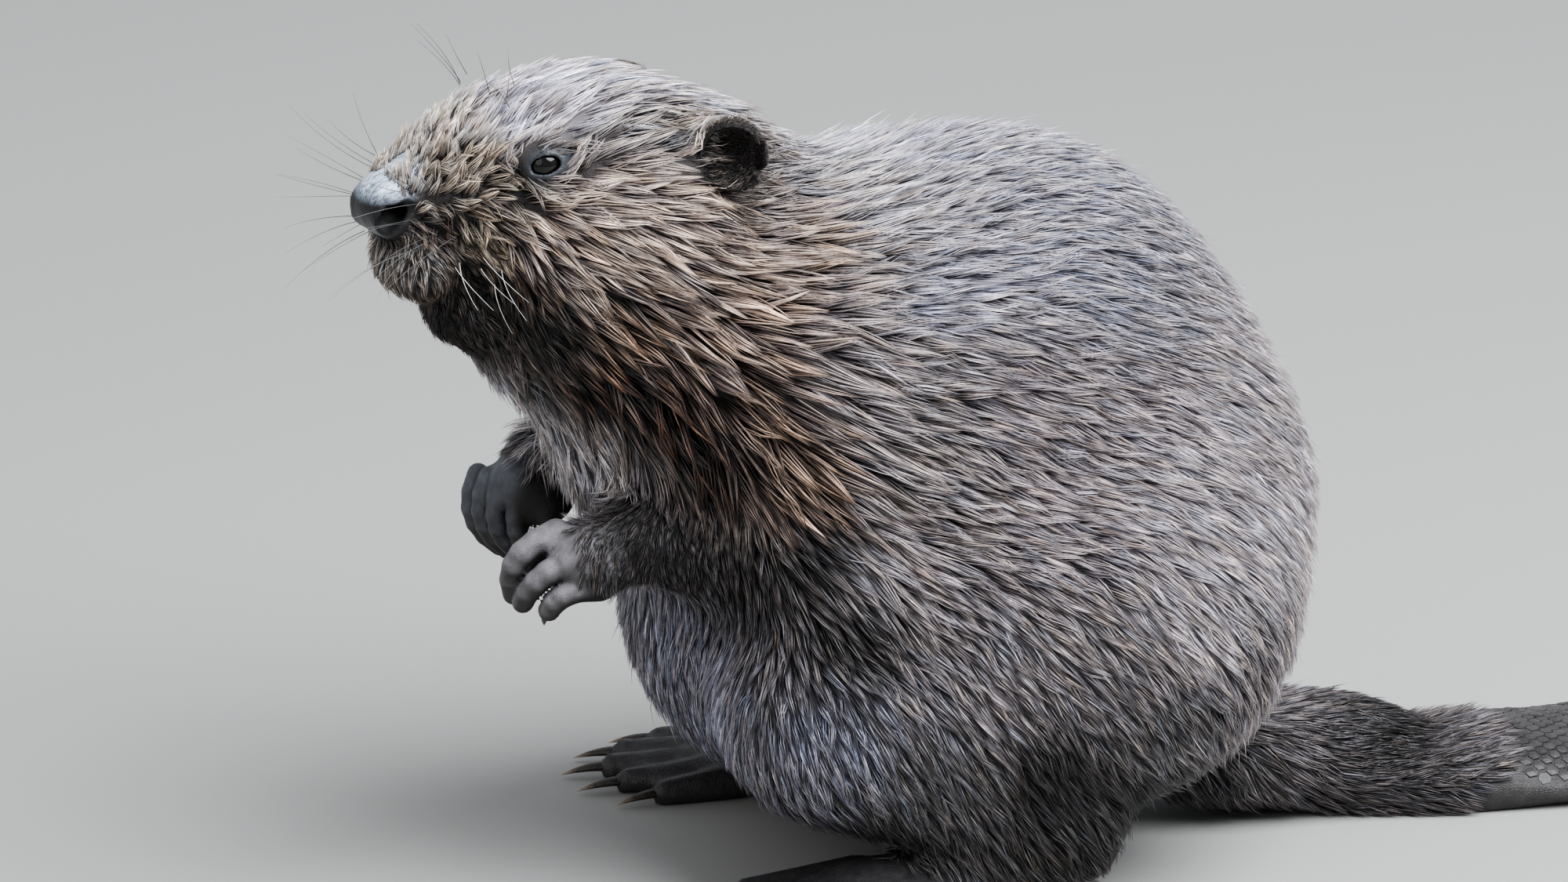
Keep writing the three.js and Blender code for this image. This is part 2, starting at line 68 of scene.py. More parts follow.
def feed(node, inputs):
    """Give inputs of a node their values, or link them to the sockets that feed them."""
    for name, value in dict(inputs).items():
        if isinstance(value, bpy.types.NodeSocket):
            node.id_data.links.new(value, node.inputs[name])
        else:
            node.inputs[name].default_value = value


def new_material(name, roughness, specular=0.5):
    """A material with its tree of nodes and its shader."""
    material = bpy.data.materials.new(name)
    material.use_nodes = True
    shader = material.node_tree.nodes["Principled BSDF"]
    feed(shader, {"Roughness": roughness, "Specular IOR Level": specular})
    return material, material.node_tree, shader


bpy.ops.mesh.primitive_plane_add(size=FLOOR_WIDTH, location=(0, 0, 0))
floor = bpy.context.object
floor.name = "floor"
floor_finish, _, floor_shader = new_material("pale floor", 0.75)
feed(floor_shader, {"Base Color": FLOOR_COLOUR})
floor.data.materials.append(floor_finish)

for name, place, aim, across, watts, colour in LIGHTS:
    light = bpy.data.lights.new(name, "AREA")
    light.shape = "DISK"
    light.size = across
    light.energy = watts
    light.color = colour
    lamp = bpy.data.objects.new(name, light)
    lamp.location = place
    lamp.rotation_euler = (Vector(aim) - Vector(place)).to_track_quat("-Z", "Y").to_euler()
    bpy.context.collection.objects.link(lamp)

world = bpy.data.worlds.new("surround")
world.use_nodes = True
feed(world.node_tree.nodes["Background"], {"Color": SURROUND_COLOUR, "Strength": SURROUND_STRENGTH})
bpy.context.scene.world = world
bpy.context.scene.view_settings.look = "AgX - Medium High Contrast"

camera = bpy.data.objects.new("camera", bpy.data.cameras.new("camera"))
bpy.context.collection.objects.link(camera)
back = Vector(
    (
        math.sin(VIEW_AZIMUTH) * math.cos(VIEW_ELEVATION),
        -math.cos(VIEW_AZIMUTH) * math.cos(VIEW_ELEVATION),
        math.sin(VIEW_ELEVATION),
    )
)
camera.location = world_point(VIEW_AIM) + VIEW_DISTANCE * back
camera.rotation_euler = (-back).to_track_quat("-Z", "Y").to_euler()
camera.data.sensor_width = SENSOR_WIDTH
camera.data.lens = SENSOR_WIDTH * VIEW_DISTANCE / VIEW_WIDTH
camera.data.clip_end = VIEW_END
bpy.context.scene.camera = camera


# ---------------------------------------------------------------- the skin
# The whole hide from nose to tail: flesh under skin, as one closed surface, modelled in egg-shaped
# and limb-shaped forms that melt into each other. It lies inside the coat's outline by the coat's
# depth, and comes to the outline where the animal is bare.
HEAD_ORIGIN = np.array([-112.0, -8.0, 310.0])
HEAD_YAW = 13
SIDES = {"left": -1, "right": 1}


def turn_of(degrees):
    """A rotation matrix about Z, then Y, then X, as its columns."""
    x, y, z = (math.radians(d) for d in degrees)
    spin = Matrix.Rotation(z, 3, "Z") @ Matrix.Rotation(y, 3, "Y") @ Matrix.Rotation(x, 3, "X")
    return np.array(spin)


HEAD_TURN = turn_of((0, 0, 180 + HEAD_YAW))


def unit(v):
    """Vectors of length one."""
    return v / np.maximum(np.linalg.norm(v, axis=-1, keepdims=True), 1e-9)


def in_head(forward, left, up):
    return HEAD_ORIGIN + HEAD_TURN @ np.array([forward, left, up], float)


def on_head(side, place):
    """A place on one side of the head, from forward, aside and up."""
    return in_head(place[0], -SIDES[side] * place[1], place[2])


def on_side(side, place):
    return np.array([place[0], SIDES[side] * place[1], place[2]], float)


def turned_egg(centre, half, blend, axes, cut=False):
    """An ellipsoid on axes given as columns, and how far it melts into what is before it."""
    centre, half = np.array(centre, float), np.array(half, float)

    def distance(x, y, z):
        d = [x - centre[0], y - centre[1], z - centre[2]]
        p = [sum(axes[m, n] * d[m] for m in range(3)) / half[n] for n in range(3)]
        k0 = np.sqrt(p[0] ** 2 + p[1] ** 2 + p[2] ** 2)
        k1 = np.sqrt(sum((p[n] / half[n]) ** 2 for n in range(3)))
        return k0 * (k0 - 1) / np.maximum(k1, 1e-6)

    reach = np.abs(axes) @ half
    return {"distance": distance, "blend": blend, "low": centre - reach, "high": centre + reach, "cut": cut}


def egg(centre, half, blend, turn=(0, 0, 0), coat=0.0):
    """An ellipsoid turned by degrees and drawn in by the coat's depth."""
    return turned_egg(centre, np.array(half, float) - coat, blend, turn_of(turn))


def head_egg(centre, half, blend, coat=0.0):
    return turned_egg(in_head(*centre), np.array(half, float) - coat, blend, HEAD_TURN)


def limb(start, r0, end, r1, blend, coat0=0.0, coat1=0.0, cut=False):
    """A tapered limb with round ends."""
    start, end = np.array(start, float), np.array(end, float)
    r0, r1 = r0 - coat0, r1 - coat1
    axis = end - start
    length = np.linalg.norm(axis)
    axis = axis / length
    slope = (r0 - r1) / length
    across = math.sqrt(1 - slope * slope)

    def distance(x, y, z):
        dx, dy, dz = x - start[0], y - start[1], z - start[2]
        along = dx * axis[0] + dy * axis[1] + dz * axis[2]
        out = np.sqrt(np.maximum(dx * dx + dy * dy + dz * dz - along * along, 0))
        place = along * across - out * slope
        near = np.hypot(out, along) - r0
        far = np.hypot(out, along - length) - r1
        wall = out * across + along * slope - r0
        return np.where(place < 0, near, np.where(place > length * across, far, wall))

    low = np.minimum(start - r0, end - r1)
    high = np.maximum(start + r0, end + r1)
    return {"distance": distance, "blend": blend, "low": low, "high": high, "cut": cut}


def melt(a, b, width):
    h = np.maximum(width - np.abs(a - b), 0) / width
    return np.minimum(a, b) - h * h * width / 4


def joined(field, distance, block):
    """A field with one more block melted into it or cut out of it."""
    if block["cut"]:
        return -melt(-field, distance, block["blend"])
    return melt(field, distance, block["blend"])


FAR_OUT = 1e3  # mm; the field where there is nothing yet


def field_at(blocks, points):
    """The field of a list of blocks, at N points."""
    x, y, z = points[:, 0], points[:, 1], points[:, 2]
    field = np.full(len(points), FAR_OUT)
    for block in blocks:
        field = joined(field, block["distance"](x, y, z), block)
    return field


# the trunk and the neck
trunk_forms = [
    egg((25, 0, 98), (76, 114, 100), 1, coat=5.5),  # haunches
    egg((75, 0, 141), (78, 104, 82), 40, coat=6),  # loin
    egg((13, 0, 196), (106, 90, 100), 40, coat=5.5),  # back
    egg((-27, 0, 106), (105, 97, 89), 40, coat=5),  # paunch
    egg((-53, 0, 222), (85, 70, 58), 40, coat=7),  # withers
    egg((-82, 0, 187), (57, 64, 66), 40, coat=8),  # breast
    limb((-64, 0, 214), 56, in_head(20, 0, -32), 42, 40, 8, 6),  # nape
    limb((-98, 0, 183), 59, in_head(44, 0, -65.5), 43.5, 36, 8, 7),  # throat
]

# the head: a broad flat skull, deep cheeks and a blunt muzzle
HEAD_FORMS = [  # forward, aside and up; half sizes; melting; coat's depth. One that is aside is a pair
    ((25, 0, -19.5), (65.5, 44, 33.5), 26, 4.5),  # skull
    ((65, 0, -2), (46, 28, 28), 20, 3),  # brow
    ((36, 22, -32.5), (45.5, 29, 54), 22, 6),  # cheeks
    ((94, 0, -25), (34, 26, 28.5), 20, 3),  # muzzle
    ((108, 0, -14), (25, 20, 12), 16, 1.5),  # bridge
    ((117, 9, -43), (10.5, 16, 14), 10, 1.6),  # upper lips
    ((96, 0, -62), (14.5, 19, 17.5), 12, 2.5),  # chin
    ((53.5, 0, -70), (38, 36, 37.5), 28, 7),  # jowl
    ((127.5, 0, -18.5), (10.8, 16.4, 12.4), 5, 0),  # nose
    ((129.5, 10.5, -21.5), (7.6, 7.0, 7.8), 4, 0),  # wings of the nostrils
]
head_forms = []
for (forward, aside, up), half, blend, coat in HEAD_FORMS:
    for left in (aside, -aside) if aside else (0,):
        head_forms.append(head_egg((forward, left, up), half, blend, coat))

# the eyelids: a thin domed rim round each eye, with an opening like an almond
EYE_RADIUS = 8.0
EYE_PLACE = (72.5, 30.5, -1)  # forward, aside and up in the head's own frame
EYE_OUT = (0.42, 0.9, 0.12)  # the way that it looks
LIDS_RUN = (0.98, 0, -0.16)  # from the inner corner of the lids to the outer
LID_THICK = 1.5


def eye_turn(side):
    """The eye's own axes as columns: forward along the lids, up, and out of the head."""
    out = np.array([EYE_OUT[0], -SIDES[side] * EYE_OUT[1], EYE_OUT[2]])
    out = HEAD_TURN @ (out / np.linalg.norm(out))
    run = HEAD_TURN @ np.array(LIDS_RUN)
    run = run - out * (run @ out)
    run /= np.linalg.norm(run)
    return np.column_stack([run, np.cross(out, run), out])


def lids(side):
    """The hollow under the brow, the lids, their opening, and room for the eye."""
    centre, axes = on_head(side, EYE_PLACE), eye_turn(side)
    lid = EYE_RADIUS + LID_THICK
    front = centre + axes[:, 2] * EYE_RADIUS
    return [
        turned_egg(centre + axes[:, 2] * 3.5, (13.5, 11.5, 6.0), 5, axes, cut=True),
        turned_egg(centre, (lid + 1.2, lid + 0.3, lid + 0.2), 2.5, axes),
        turned_egg(front, (6.1, 3.5, 6.0), 0.8, axes, cut=True),
        turned_egg(centre, (EYE_RADIUS + 0.15,) * 3, 0.2, axes, cut=True),
    ]


# the nostrils, and the mouth: a groove under the nose, and the lips' line back to its corner
def nostril(side):
    s = -SIDES[side]
    return [
        limb(in_head(134.5, s * 14.6, -22), 3.7, in_head(126.5, s * 18.6, -15), 3.4, 1.0, cut=True),
        limb(in_head(131, s * 13, -19), 4.4, in_head(122, s * 9, -16), 3.0, 0.8, cut=True),
    ]


def mouth():
    blocks = [limb(in_head(137, 0, -31), 1.2, in_head(126, 0, -58), 1.4, 2, cut=True)]
    for s in (-1, 1):
        line = [(117, 0, -57), (110, s * 13, -55), (100, s * 21, -50), (90, s * 25, -45)]
        for a, b in zip(line, line[1:]):
            blocks.append(limb(in_head(*a), 2.0, in_head(*b), 1.8, 3, cut=True))
    return blocks


# the ears: thin round cups of gristle, open forwards and outwards, with a soft root
EAR_PLACE = (-1.5, 47.5, -4)
EAR_HALF = (13, 14, 15)  # deep, across and tall
EAR_OUTWARD = 57
EAR_RIM = 5
EAR_WALL = 1.9
EAR_INSET = 0.5  # that the hide lies inside the ear's outline


def ear_axes(side):
    return turn_of((0, 0, 180 + HEAD_YAW - SIDES[side] * EAR_OUTWARD))


def ear(side):
    """A ball of which the front is cut off flat, with a bowl cut out."""
    axes, centre = ear_axes(side), on_head(side, EAR_PLACE)
    rim = centre + axes[:, 0] * EAR_RIM
    shell = turned_egg(centre, np.array(EAR_HALF) - EAR_INSET, 4, axes)
    whole = shell["distance"]

    def cut_off(x, y, z):
        beyond = sum(axes[n, 0] * (c - rim[n]) for n, c in enumerate((x, y, z)))
        return np.maximum(whole(x, y, z), beyond)

    shell["distance"] = cut_off
    bowl = np.array([EAR_HALF[0] + 2, EAR_HALF[1], EAR_HALF[2]]) - EAR_INSET - EAR_WALL
    return [shell, turned_egg(rim, bowl, 1.2, axes, cut=True)]


# the forelegs and the forepaws, held closed before the chest
SHOULDER = (-74, 50, 204)
ELBOW = (-64, 74, 138)
WRIST_RADIUS = 14
THUMB_RADIUS = 4.4
FINGER_TAPER = 0.8  # from its root to its tip
FINGER_JOINTS = 6
PAWS = {  # each finger is a curve through its root, its middle joint and its tip
    "left": dict(
        wrist=(-136, -46, 147), palm=(-155.5, -44.5, 141.5), palm_half=(17, 14.5, 14.5), radius=5.9,
        fingers=[
            ((-158, -33, 150), (-172, -31, 141), (-175, -27, 129)),
            ((-168, -38, 152), (-184.5, -41, 143), (-184, -32, 126)),
            ((-159.5, -45, 144), (-176.5, -48, 137), (-182, -39, 124.5)),
            ((-153.5, -50, 132), (-167, -52, 131), (-173.5, -47.5, 123)),
        ],
        thumb=((-151, -34, 136), (-156, -30, 130), (-161, -28.5, 126)),
    ),
    "right": dict(
        wrist=(-151, 41, 158), palm=(-161, 36, 150.5), palm_half=(14, 18, 12), radius=4.9,
        fingers=[
            ((-166, 26, 152), (-169, 24, 137), (-164, 27, 125)),
            ((-171.5, 34.5, 151.5), (-175, 32, 136), (-166.5, 35, 122)),
            ((-175, 43, 151), (-178.5, 40.5, 135), (-168, 43, 120)),
            ((-177.5, 52, 150), (-180.5, 49, 134), (-169.5, 50, 119.5)),
        ],
        thumb=((-155, 22, 146), (-157, 17, 139), (-157, 15.5, 132)),
    ),
}


def arm(side):
    return [
        limb(on_side(side, SHOULDER), 42, on_side(side, ELBOW), 33, 34, 8, 7),
        limb(on_side(side, ELBOW), 32, PAWS[side]["wrist"], WRIST_RADIUS, 14, 7, 1.5),
    ]


def through(root, joint, tip, count):
    """Points along a smooth curve from root to tip that passes its joint halfway."""
    root, joint, tip = (np.array(p, float) for p in (root, joint, tip))
    lead = 2 * joint - (root + tip) / 2
    t = np.linspace(0, 1, count)[:, None]
    return (1 - t) ** 2 * root + 2 * t * (1 - t) * lead + t**2 * tip


def paw(side):
    """A forepaw's forms and, for each digit, where its claw starts and how it runs."""
    p = PAWS[side]
    forms = [
        limb(p["wrist"], WRIST_RADIUS - 1.3, p["palm"], WRIST_RADIUS - 2.5, 10),
        egg(p["palm"], np.array(p["palm_half"]) - 0.5, 8),
    ]
    claws = []
    digits = [(line, p["radius"]) for line in p["fingers"]] + [(p["thumb"], THUMB_RADIUS)]
    for (root, joint, tip), thick in digits:
        line = through(root, joint, tip, FINGER_JOINTS)
        radii = np.linspace(thick, thick * FINGER_TAPER, FINGER_JOINTS) - 0.3
        for n in range(FINGER_JOINTS - 1):
            melting = 4 if n == 0 else 0.7
            forms.append(limb(line[n], radii[n], line[n + 1], radii[n + 1] * 0.999, melting))
        way = unit(line[-1] - line[-2])
        curl = unit(way - unit(line[1] - line[0]))
        claws.append(dict(tip=line[-1], way=way, bend=unit(curl - way * (curl @ way)), radius=radii[-1]))
    return forms, claws


# the hind legs, and the hind feet with a web between their toes
HIP = (58, 64, 104)
KNEE = (-66, 80, 80)
ANKLE = (22, 84, 30)
TOE_ROOT = (-52, 88, 9)
TOE_STEP = (3, 10)  # from one toe's root to the next, back and outward
TOE_FAN = (-4, 5, 13, 21, 30)  # degrees
TOE_LENGTHS = (46, 60, 66, 62, 50)
TOE_RADIUS = 7
WEB_CENTRE = (-74, 96, 4)
WEB_HALF = (33, 36, 4.5)
WEB_TURN = -13


def leg(side):
    return [
        limb(on_side(side, HIP), 70, on_side(side, KNEE), 42, 30, 6, 5.5),
        limb(on_side(side, KNEE), 38, on_side(side, ANKLE), 26, 24, 5, 3.5),
    ]


def hind_foot(side):
    """A hind foot's forms, and where each claw starts."""
    s = SIDES[side]
    forms = [
        limb(on_side(side, ANKLE), 23, on_side(side, (-20, 86, 13)), 14.5, 14),
        limb(on_side(side, (0, 85, 10)), 12.6, on_side(side, TOE_ROOT), 12.6, 10),
        egg(on_side(side, (-52, 89, 8)), (25.5, 24.5, 9.6), 10),
    ]
    claws = []
    for i, fan in enumerate(TOE_FAN):
        fan = math.radians(fan)
        outward = TOE_ROOT[1] + (i - 2) * TOE_STEP[1]
        root = on_side(side, (TOE_ROOT[0] + TOE_STEP[0] * i, outward, TOE_ROOT[2]))
        way = np.array([-math.cos(fan), s * math.sin(fan), 0])
        tip = root + TOE_LENGTHS[i] * way
        tip[2] = TOE_RADIUS * 0.7
        forms.append(limb(root, TOE_RADIUS + 1.2, tip, TOE_RADIUS * 0.8 - 0.3, 4))
        claws.append(dict(tip=tip, way=way, bend=np.array([0, 0, -1.0]), radius=TOE_RADIUS * 0.8))
    forms.append(egg(on_side(side, WEB_CENTRE), np.array(WEB_HALF) - 0.3, 5, (0, 0, s * WEB_TURN)))
    return forms, claws


# the tail: a furred root and a flat bare blade
TAIL_SWEEP = 6
BLADE_CENTRE = (296, 15, 7)
BLADE_HALF = (112, 55, 11)
tail_forms = [
    egg((140, 2, 24), (64, 37, 25), 30, (0, 0, TAIL_SWEEP), coat=5),
    egg((212, 7, 9), (66, 37, 14), 18, (0, 0, TAIL_SWEEP), coat=1.5),
    egg(BLADE_CENTRE, np.array(BLADE_HALF) - 1.4, 20, (0, 0, TAIL_SWEEP)),
]

# all the forms, melted into one hide
paws = {side: paw(side) for side in SIDES}
feet = {side: hind_foot(side) for side in SIDES}


def both(recipe):
    return recipe("left") + recipe("right")


hide_blocks = [
    *trunk_forms,
    *head_forms,
    *both(leg),
    *both(arm),
    *tail_forms,
    *both(lambda side: paws[side][0]),
    egg((-157, 28, 147), (13, 12, 12.5), 5),  # the hollow of the far palm
    *both(lambda side: feet[side][0]),
    *both(ear),
    *both(lids),
    *both(nostril),
    *mouth(),
]

# the melted forms are read on a grid, which is fine over the face and paws, and coarse elsewhere
FINE_STEP = 1.15
COARSE_STEP = 4.4
FLOOR_GAP = 0.25  # mm that the hide keeps over the floor
GRID_MARGIN = 17  # mm round a form that it is worked out in
CELL_CORNERS = list(itertools.product((0, 1), repeat=3))


def axis_steps(low, fine_low, fine_high, high):
    """Grid places along an axis: fine between two of them, coarse outside."""
    runs = [(low, fine_low, COARSE_STEP), (fine_low, fine_high, FINE_STEP), (fine_high, high, COARSE_STEP)]
    places = [np.linspace(a, b, max(2, round(abs(b - a) / step) + 1)) for a, b, step in runs]
    return np.concatenate([places[0][:-1], places[1][:-1], places[2]])


GRID = [
    axis_steps(-262, -252, -92, 424),
    axis_steps(-158, -70, 64, 158),
    axis_steps(-8, 108, 344, 352),
]


def fill_grid(blocks):
    """The field on the grid, each block worked out only near itself."""
    field = np.full([len(a) for a in GRID], FAR_OUT, np.float32)
    for block in blocks:
        reach = max(GRID_MARGIN, block["blend"] + 3)
        span = []
        for n in range(3):
            a = np.searchsorted(GRID[n], block["low"][n] - reach)
            b = np.searchsorted(GRID[n], block["high"][n] + reach)
            span.append(slice(a, b))
        x, y, z = (GRID[n][span[n]].astype(np.float32) for n in range(3))
        distance = block["distance"](x[:, None, None], y[None, :, None], z[None, None, :])
        field[tuple(span)] = joined(field[tuple(span)], distance, block)
    return field


hide_field = fill_grid(hide_blocks)
floor_field = -(GRID[2] - FLOOR_GAP).astype(np.float32)
hide_field = np.maximum(hide_field, floor_field[None, None, :])


def surface_nets(f):
    """One vertex in each cell that the surface crosses, one quad across each grid edge."""
    inside = f < 0
    nx, ny, nz = f.shape
    count = np.zeros((nx - 1, ny - 1, nz - 1), np.int8)
    for a, b, c in CELL_CORNERS:
        count += inside[a : nx - 1 + a, b : ny - 1 + b, c : nz - 1 + c]
    cells = np.argwhere((count > 0) & (count < 8))
    number = np.full(count.shape, -1, np.int32)
    number[tuple(cells.T)] = np.arange(len(cells))
    corner = {bits: f[tuple((cells + bits).T)].astype(float) for bits in CELL_CORNERS}
    total = np.zeros((len(cells), 3))
    crossings = np.zeros(len(cells))
    for start, v0 in corner.items():
        for n in range(3):
            if start[n]:
                continue
            end = tuple(1 if m == n else start[m] for m in range(3))
            v1 = corner[end]
            crossed = (v0 < 0) != (v1 < 0)
            t = np.where(crossed, v0 / np.where(crossed, v0 - v1, 1), 0)
            point = np.array(start, float)[None, :] + np.zeros((len(cells), 3))
            point[:, n] += t
            total += point * crossed[:, None]
            crossings += crossed
    local = total / crossings[:, None]
    points = np.empty((len(cells), 3))
    for n in range(3):
        low = GRID[n][cells[:, n]]
        step = GRID[n][cells[:, n] + 1] - low
        points[:, n] = low + local[:, n] * step
    quads = []
    for n, u, w in ((0, 1, 2), (1, 2, 0), (2, 0, 1)):
        a = np.moveaxis(inside, n, 0)
        here = np.argwhere(np.moveaxis(a[:-1] != a[1:], 0, n))
        keep = (here[:, u] > 0) & (here[:, w] > 0)
        keep &= (here[:, u] < f.shape[u] - 1) & (here[:, w] < f.shape[w] - 1)
        here = here[keep]
        ring = []
        for du, dw in ((0, 0), (1, 0), (1, 1), (0, 1)):
            cell = here.copy()
            cell[:, u] -= du
            cell[:, w] -= dw
            ring.append(number[tuple(cell.T)])
        ring = np.column_stack(ring)
        flip = ~inside[tuple(here.T)]
        ring[flip] = ring[flip][:, ::-1]
        quads.append(ring)
    return points, np.concatenate(quads)


SLOPE_STEP = 1.5  # mm over which the hide's slope is taken


def sample_grid(points):
    """The hide's field and its outward direction at points, read from the grid."""
    def read(p):
        index, share = [], []
        for n in range(3):
            i = np.clip(np.searchsorted(GRID[n], p[:, n]) - 1, 0, len(GRID[n]) - 2)
            low = GRID[n][i]
            index.append(i)
            share.append(np.clip((p[:, n] - low) / (GRID[n][i + 1] - low), 0, 1))
        total = np.zeros(len(p))
        for bits in CELL_CORNERS:
            weight = np.ones(len(p))
            for n, bit in enumerate(bits):
                weight = weight * (share[n] if bit else 1 - share[n])
            total += weight * hide_field[index[0] + bits[0], index[1] + bits[1], index[2] + bits[2]]
        return total

    f = read(points)
    slope = np.column_stack([read(points + SLOPE_STEP * np.eye(3)[n]) - f for n in range(3)])
    slope /= np.maximum(np.linalg.norm(slope, axis=1, keepdims=True), 1e-6)
    return f, slope


def mesh_from(name, points, faces, corners):
    """A mesh object from millimetre points in the animal's frame and equal-sided faces."""
    mesh = bpy.data.meshes.new(name)
    mesh.vertices.add(len(points))
    mesh.vertices.foreach_set("co", ((points + SHIFT) * MM).astype(np.float32).ravel())
    mesh.loops.add(faces.size)
    mesh.loops.foreach_set("vertex_index", faces.astype(np.int32).ravel())
    mesh.polygons.add(len(faces))
    mesh.polygons.foreach_set("loop_start", np.arange(len(faces), dtype=np.int32) * corners)
    mesh.polygons.foreach_set("loop_total", np.full(len(faces), corners, np.int32))
    mesh.update(calc_edges=True)
    mesh.validate()
    mesh.shade_smooth()
    piece = bpy.data.objects.new(name, mesh)
    bpy.context.collection.objects.link(piece)
    return piece


SKIN_FACES = 180000  # triangles kept, most of them where the hide curves most


def thin_mesh(piece, keep):
    """Fewer, larger triangles where the surface is smooth."""
    faces = sum(len(p.vertices) - 2 for p in piece.data.polygons)
    modifier = piece.modifiers.new("fewer faces", "DECIMATE")
    modifier.ratio = keep / faces
    bpy.context.view_layer.objects.active = piece
    bpy.ops.object.modifier_apply(modifier=modifier.name)


def read_back(items, attribute, kind):
    """Three numbers for each of a mesh's vertices or triangles."""
    values = np.empty(len(items) * 3, kind)
    items.foreach_get(attribute, values)
    return values.reshape(-1, 3)


skin = mesh_from("skin", *surface_nets(hide_field), 4)
thin_mesh(skin, SKIN_FACES)
skin_points = read_back(skin.data.vertices, "co", np.float32).astype(float) / MM - SHIFT
skin.data.calc_loop_triangles()
skin_faces = read_back(skin.data.loop_triangles, "vertices", np.int32)
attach(skin, "root")
flesh = ["nose", "head", "neck", "chest", "belly", "rump", "tail_root", "tail_blade"]
for side in SIDES:
    flesh += [f"{part}_{side}" for part in ("ear", "upper_arm", "forearm", "hand", "thigh", "foot")]
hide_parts(*flesh)


# ---------------------------------------------------------------- the lie and markings of the coat, and its painted light and shade
# A comb of guides, laid out over the left side and mirrored, says at each place which way
# the hair lies, how long, wide and deep it is, how it is coloured, and which piece it belongs to.
# Skin and coat both take their colours from it, so the markings, and the light and shade painted into them,
# are the same on both.
# These tones are partly the coat's own colours and partly painted light and shade. The tones on
# arm, under, low) are near black, partly as painted shade; and each runs from near-black roots,
# painted shade deep in the coat, to pale points, partly painted highlight on the wet tips.
# tinted blue as a painted sheen on wet hair; those under the head and body (mouth, corner, throat,
# top (bridge, crown, nape, back, rump) are lifted as painted light from above, the crown and back
TONES = {  # under the coat, a tuft's outer half, and a lock's point
    "bridge": ((0.085, 0.072, 0.066), (0.6, 0.53, 0.48), (0.95, 0.87, 0.75)),
    "muzzle": ((0.008, 0.006, 0.005), (0.085, 0.066, 0.054), (0.92, 0.76, 0.6)),
    "lip": ((0.013, 0.011, 0.011), (0.179, 0.163, 0.156), (0.828, 0.745, 0.69)),
    "mouth": ((0.002, 0.002, 0.002), (0.005, 0.004, 0.004), (0.02, 0.013, 0.009)),
    "crown": ((0.18, 0.165, 0.178), (0.58, 0.54, 0.604), (0.95, 0.91, 0.943)),
    "brow": ((0.027, 0.023, 0.022), (0.173, 0.15, 0.144), (0.769, 0.664, 0.577)),
    "cheek": ((0.033, 0.026, 0.025), (0.355, 0.284, 0.262), (0.96, 0.763, 0.616)),
    "neck": ((0.018, 0.014, 0.013), (0.247, 0.183, 0.162), (0.954, 0.719, 0.57)),
    "throat": ((0.003, 0.002, 0.002), (0.009, 0.005, 0.004), (0.145, 0.072, 0.041)),
    "chest": ((0.08, 0.07, 0.067), (0.391, 0.367, 0.381), (0.819, 0.759, 0.774)),
    "nape": ((0.135, 0.13, 0.142), (0.42, 0.4, 0.43), (0.92, 0.87, 0.87)),
    "back": ((0.098, 0.095, 0.115), (0.32, 0.31, 0.36), (0.85, 0.8, 0.85)),
    "flank": ((0.063, 0.055, 0.061), (0.276, 0.241, 0.265), (0.854, 0.73, 0.708)),
    "rump": ((0.169, 0.151, 0.166), (0.622, 0.565, 0.608), (0.948, 0.845, 0.834)),
    "thigh": ((0.054, 0.047, 0.052), (0.224, 0.2, 0.213), (0.76, 0.665, 0.665)),
    "belly": ((0.05, 0.048, 0.057), (0.206, 0.206, 0.253), (0.639, 0.63, 0.741)),
    "under": ((0.006, 0.006, 0.006), (0.03, 0.028, 0.028), (0.15, 0.14, 0.135)),
    "arm": ((0.005, 0.004, 0.005), (0.02, 0.018, 0.019), (0.143, 0.124, 0.12)),
    "jaw": ((0.008, 0.006, 0.005), (0.075, 0.05, 0.04), (0.66, 0.43, 0.3)),
    "low": ((0.03, 0.028, 0.03), (0.12, 0.112, 0.12), (0.46, 0.43, 0.44)),
    "ear_back": ((0.015, 0.012, 0.01), (0.07, 0.056, 0.049), (0.26, 0.205, 0.165)),
    "ear": ((0.01, 0.008, 0.007), (0.034, 0.027, 0.024), (0.12, 0.095, 0.08)),
    "shoulder": ((0.03, 0.027, 0.029), (0.2, 0.175, 0.185), (0.9, 0.79, 0.76)),
    "corner": ((0.003, 0.002, 0.002), (0.016, 0.011, 0.009), (0.16, 0.1, 0.07)),
}

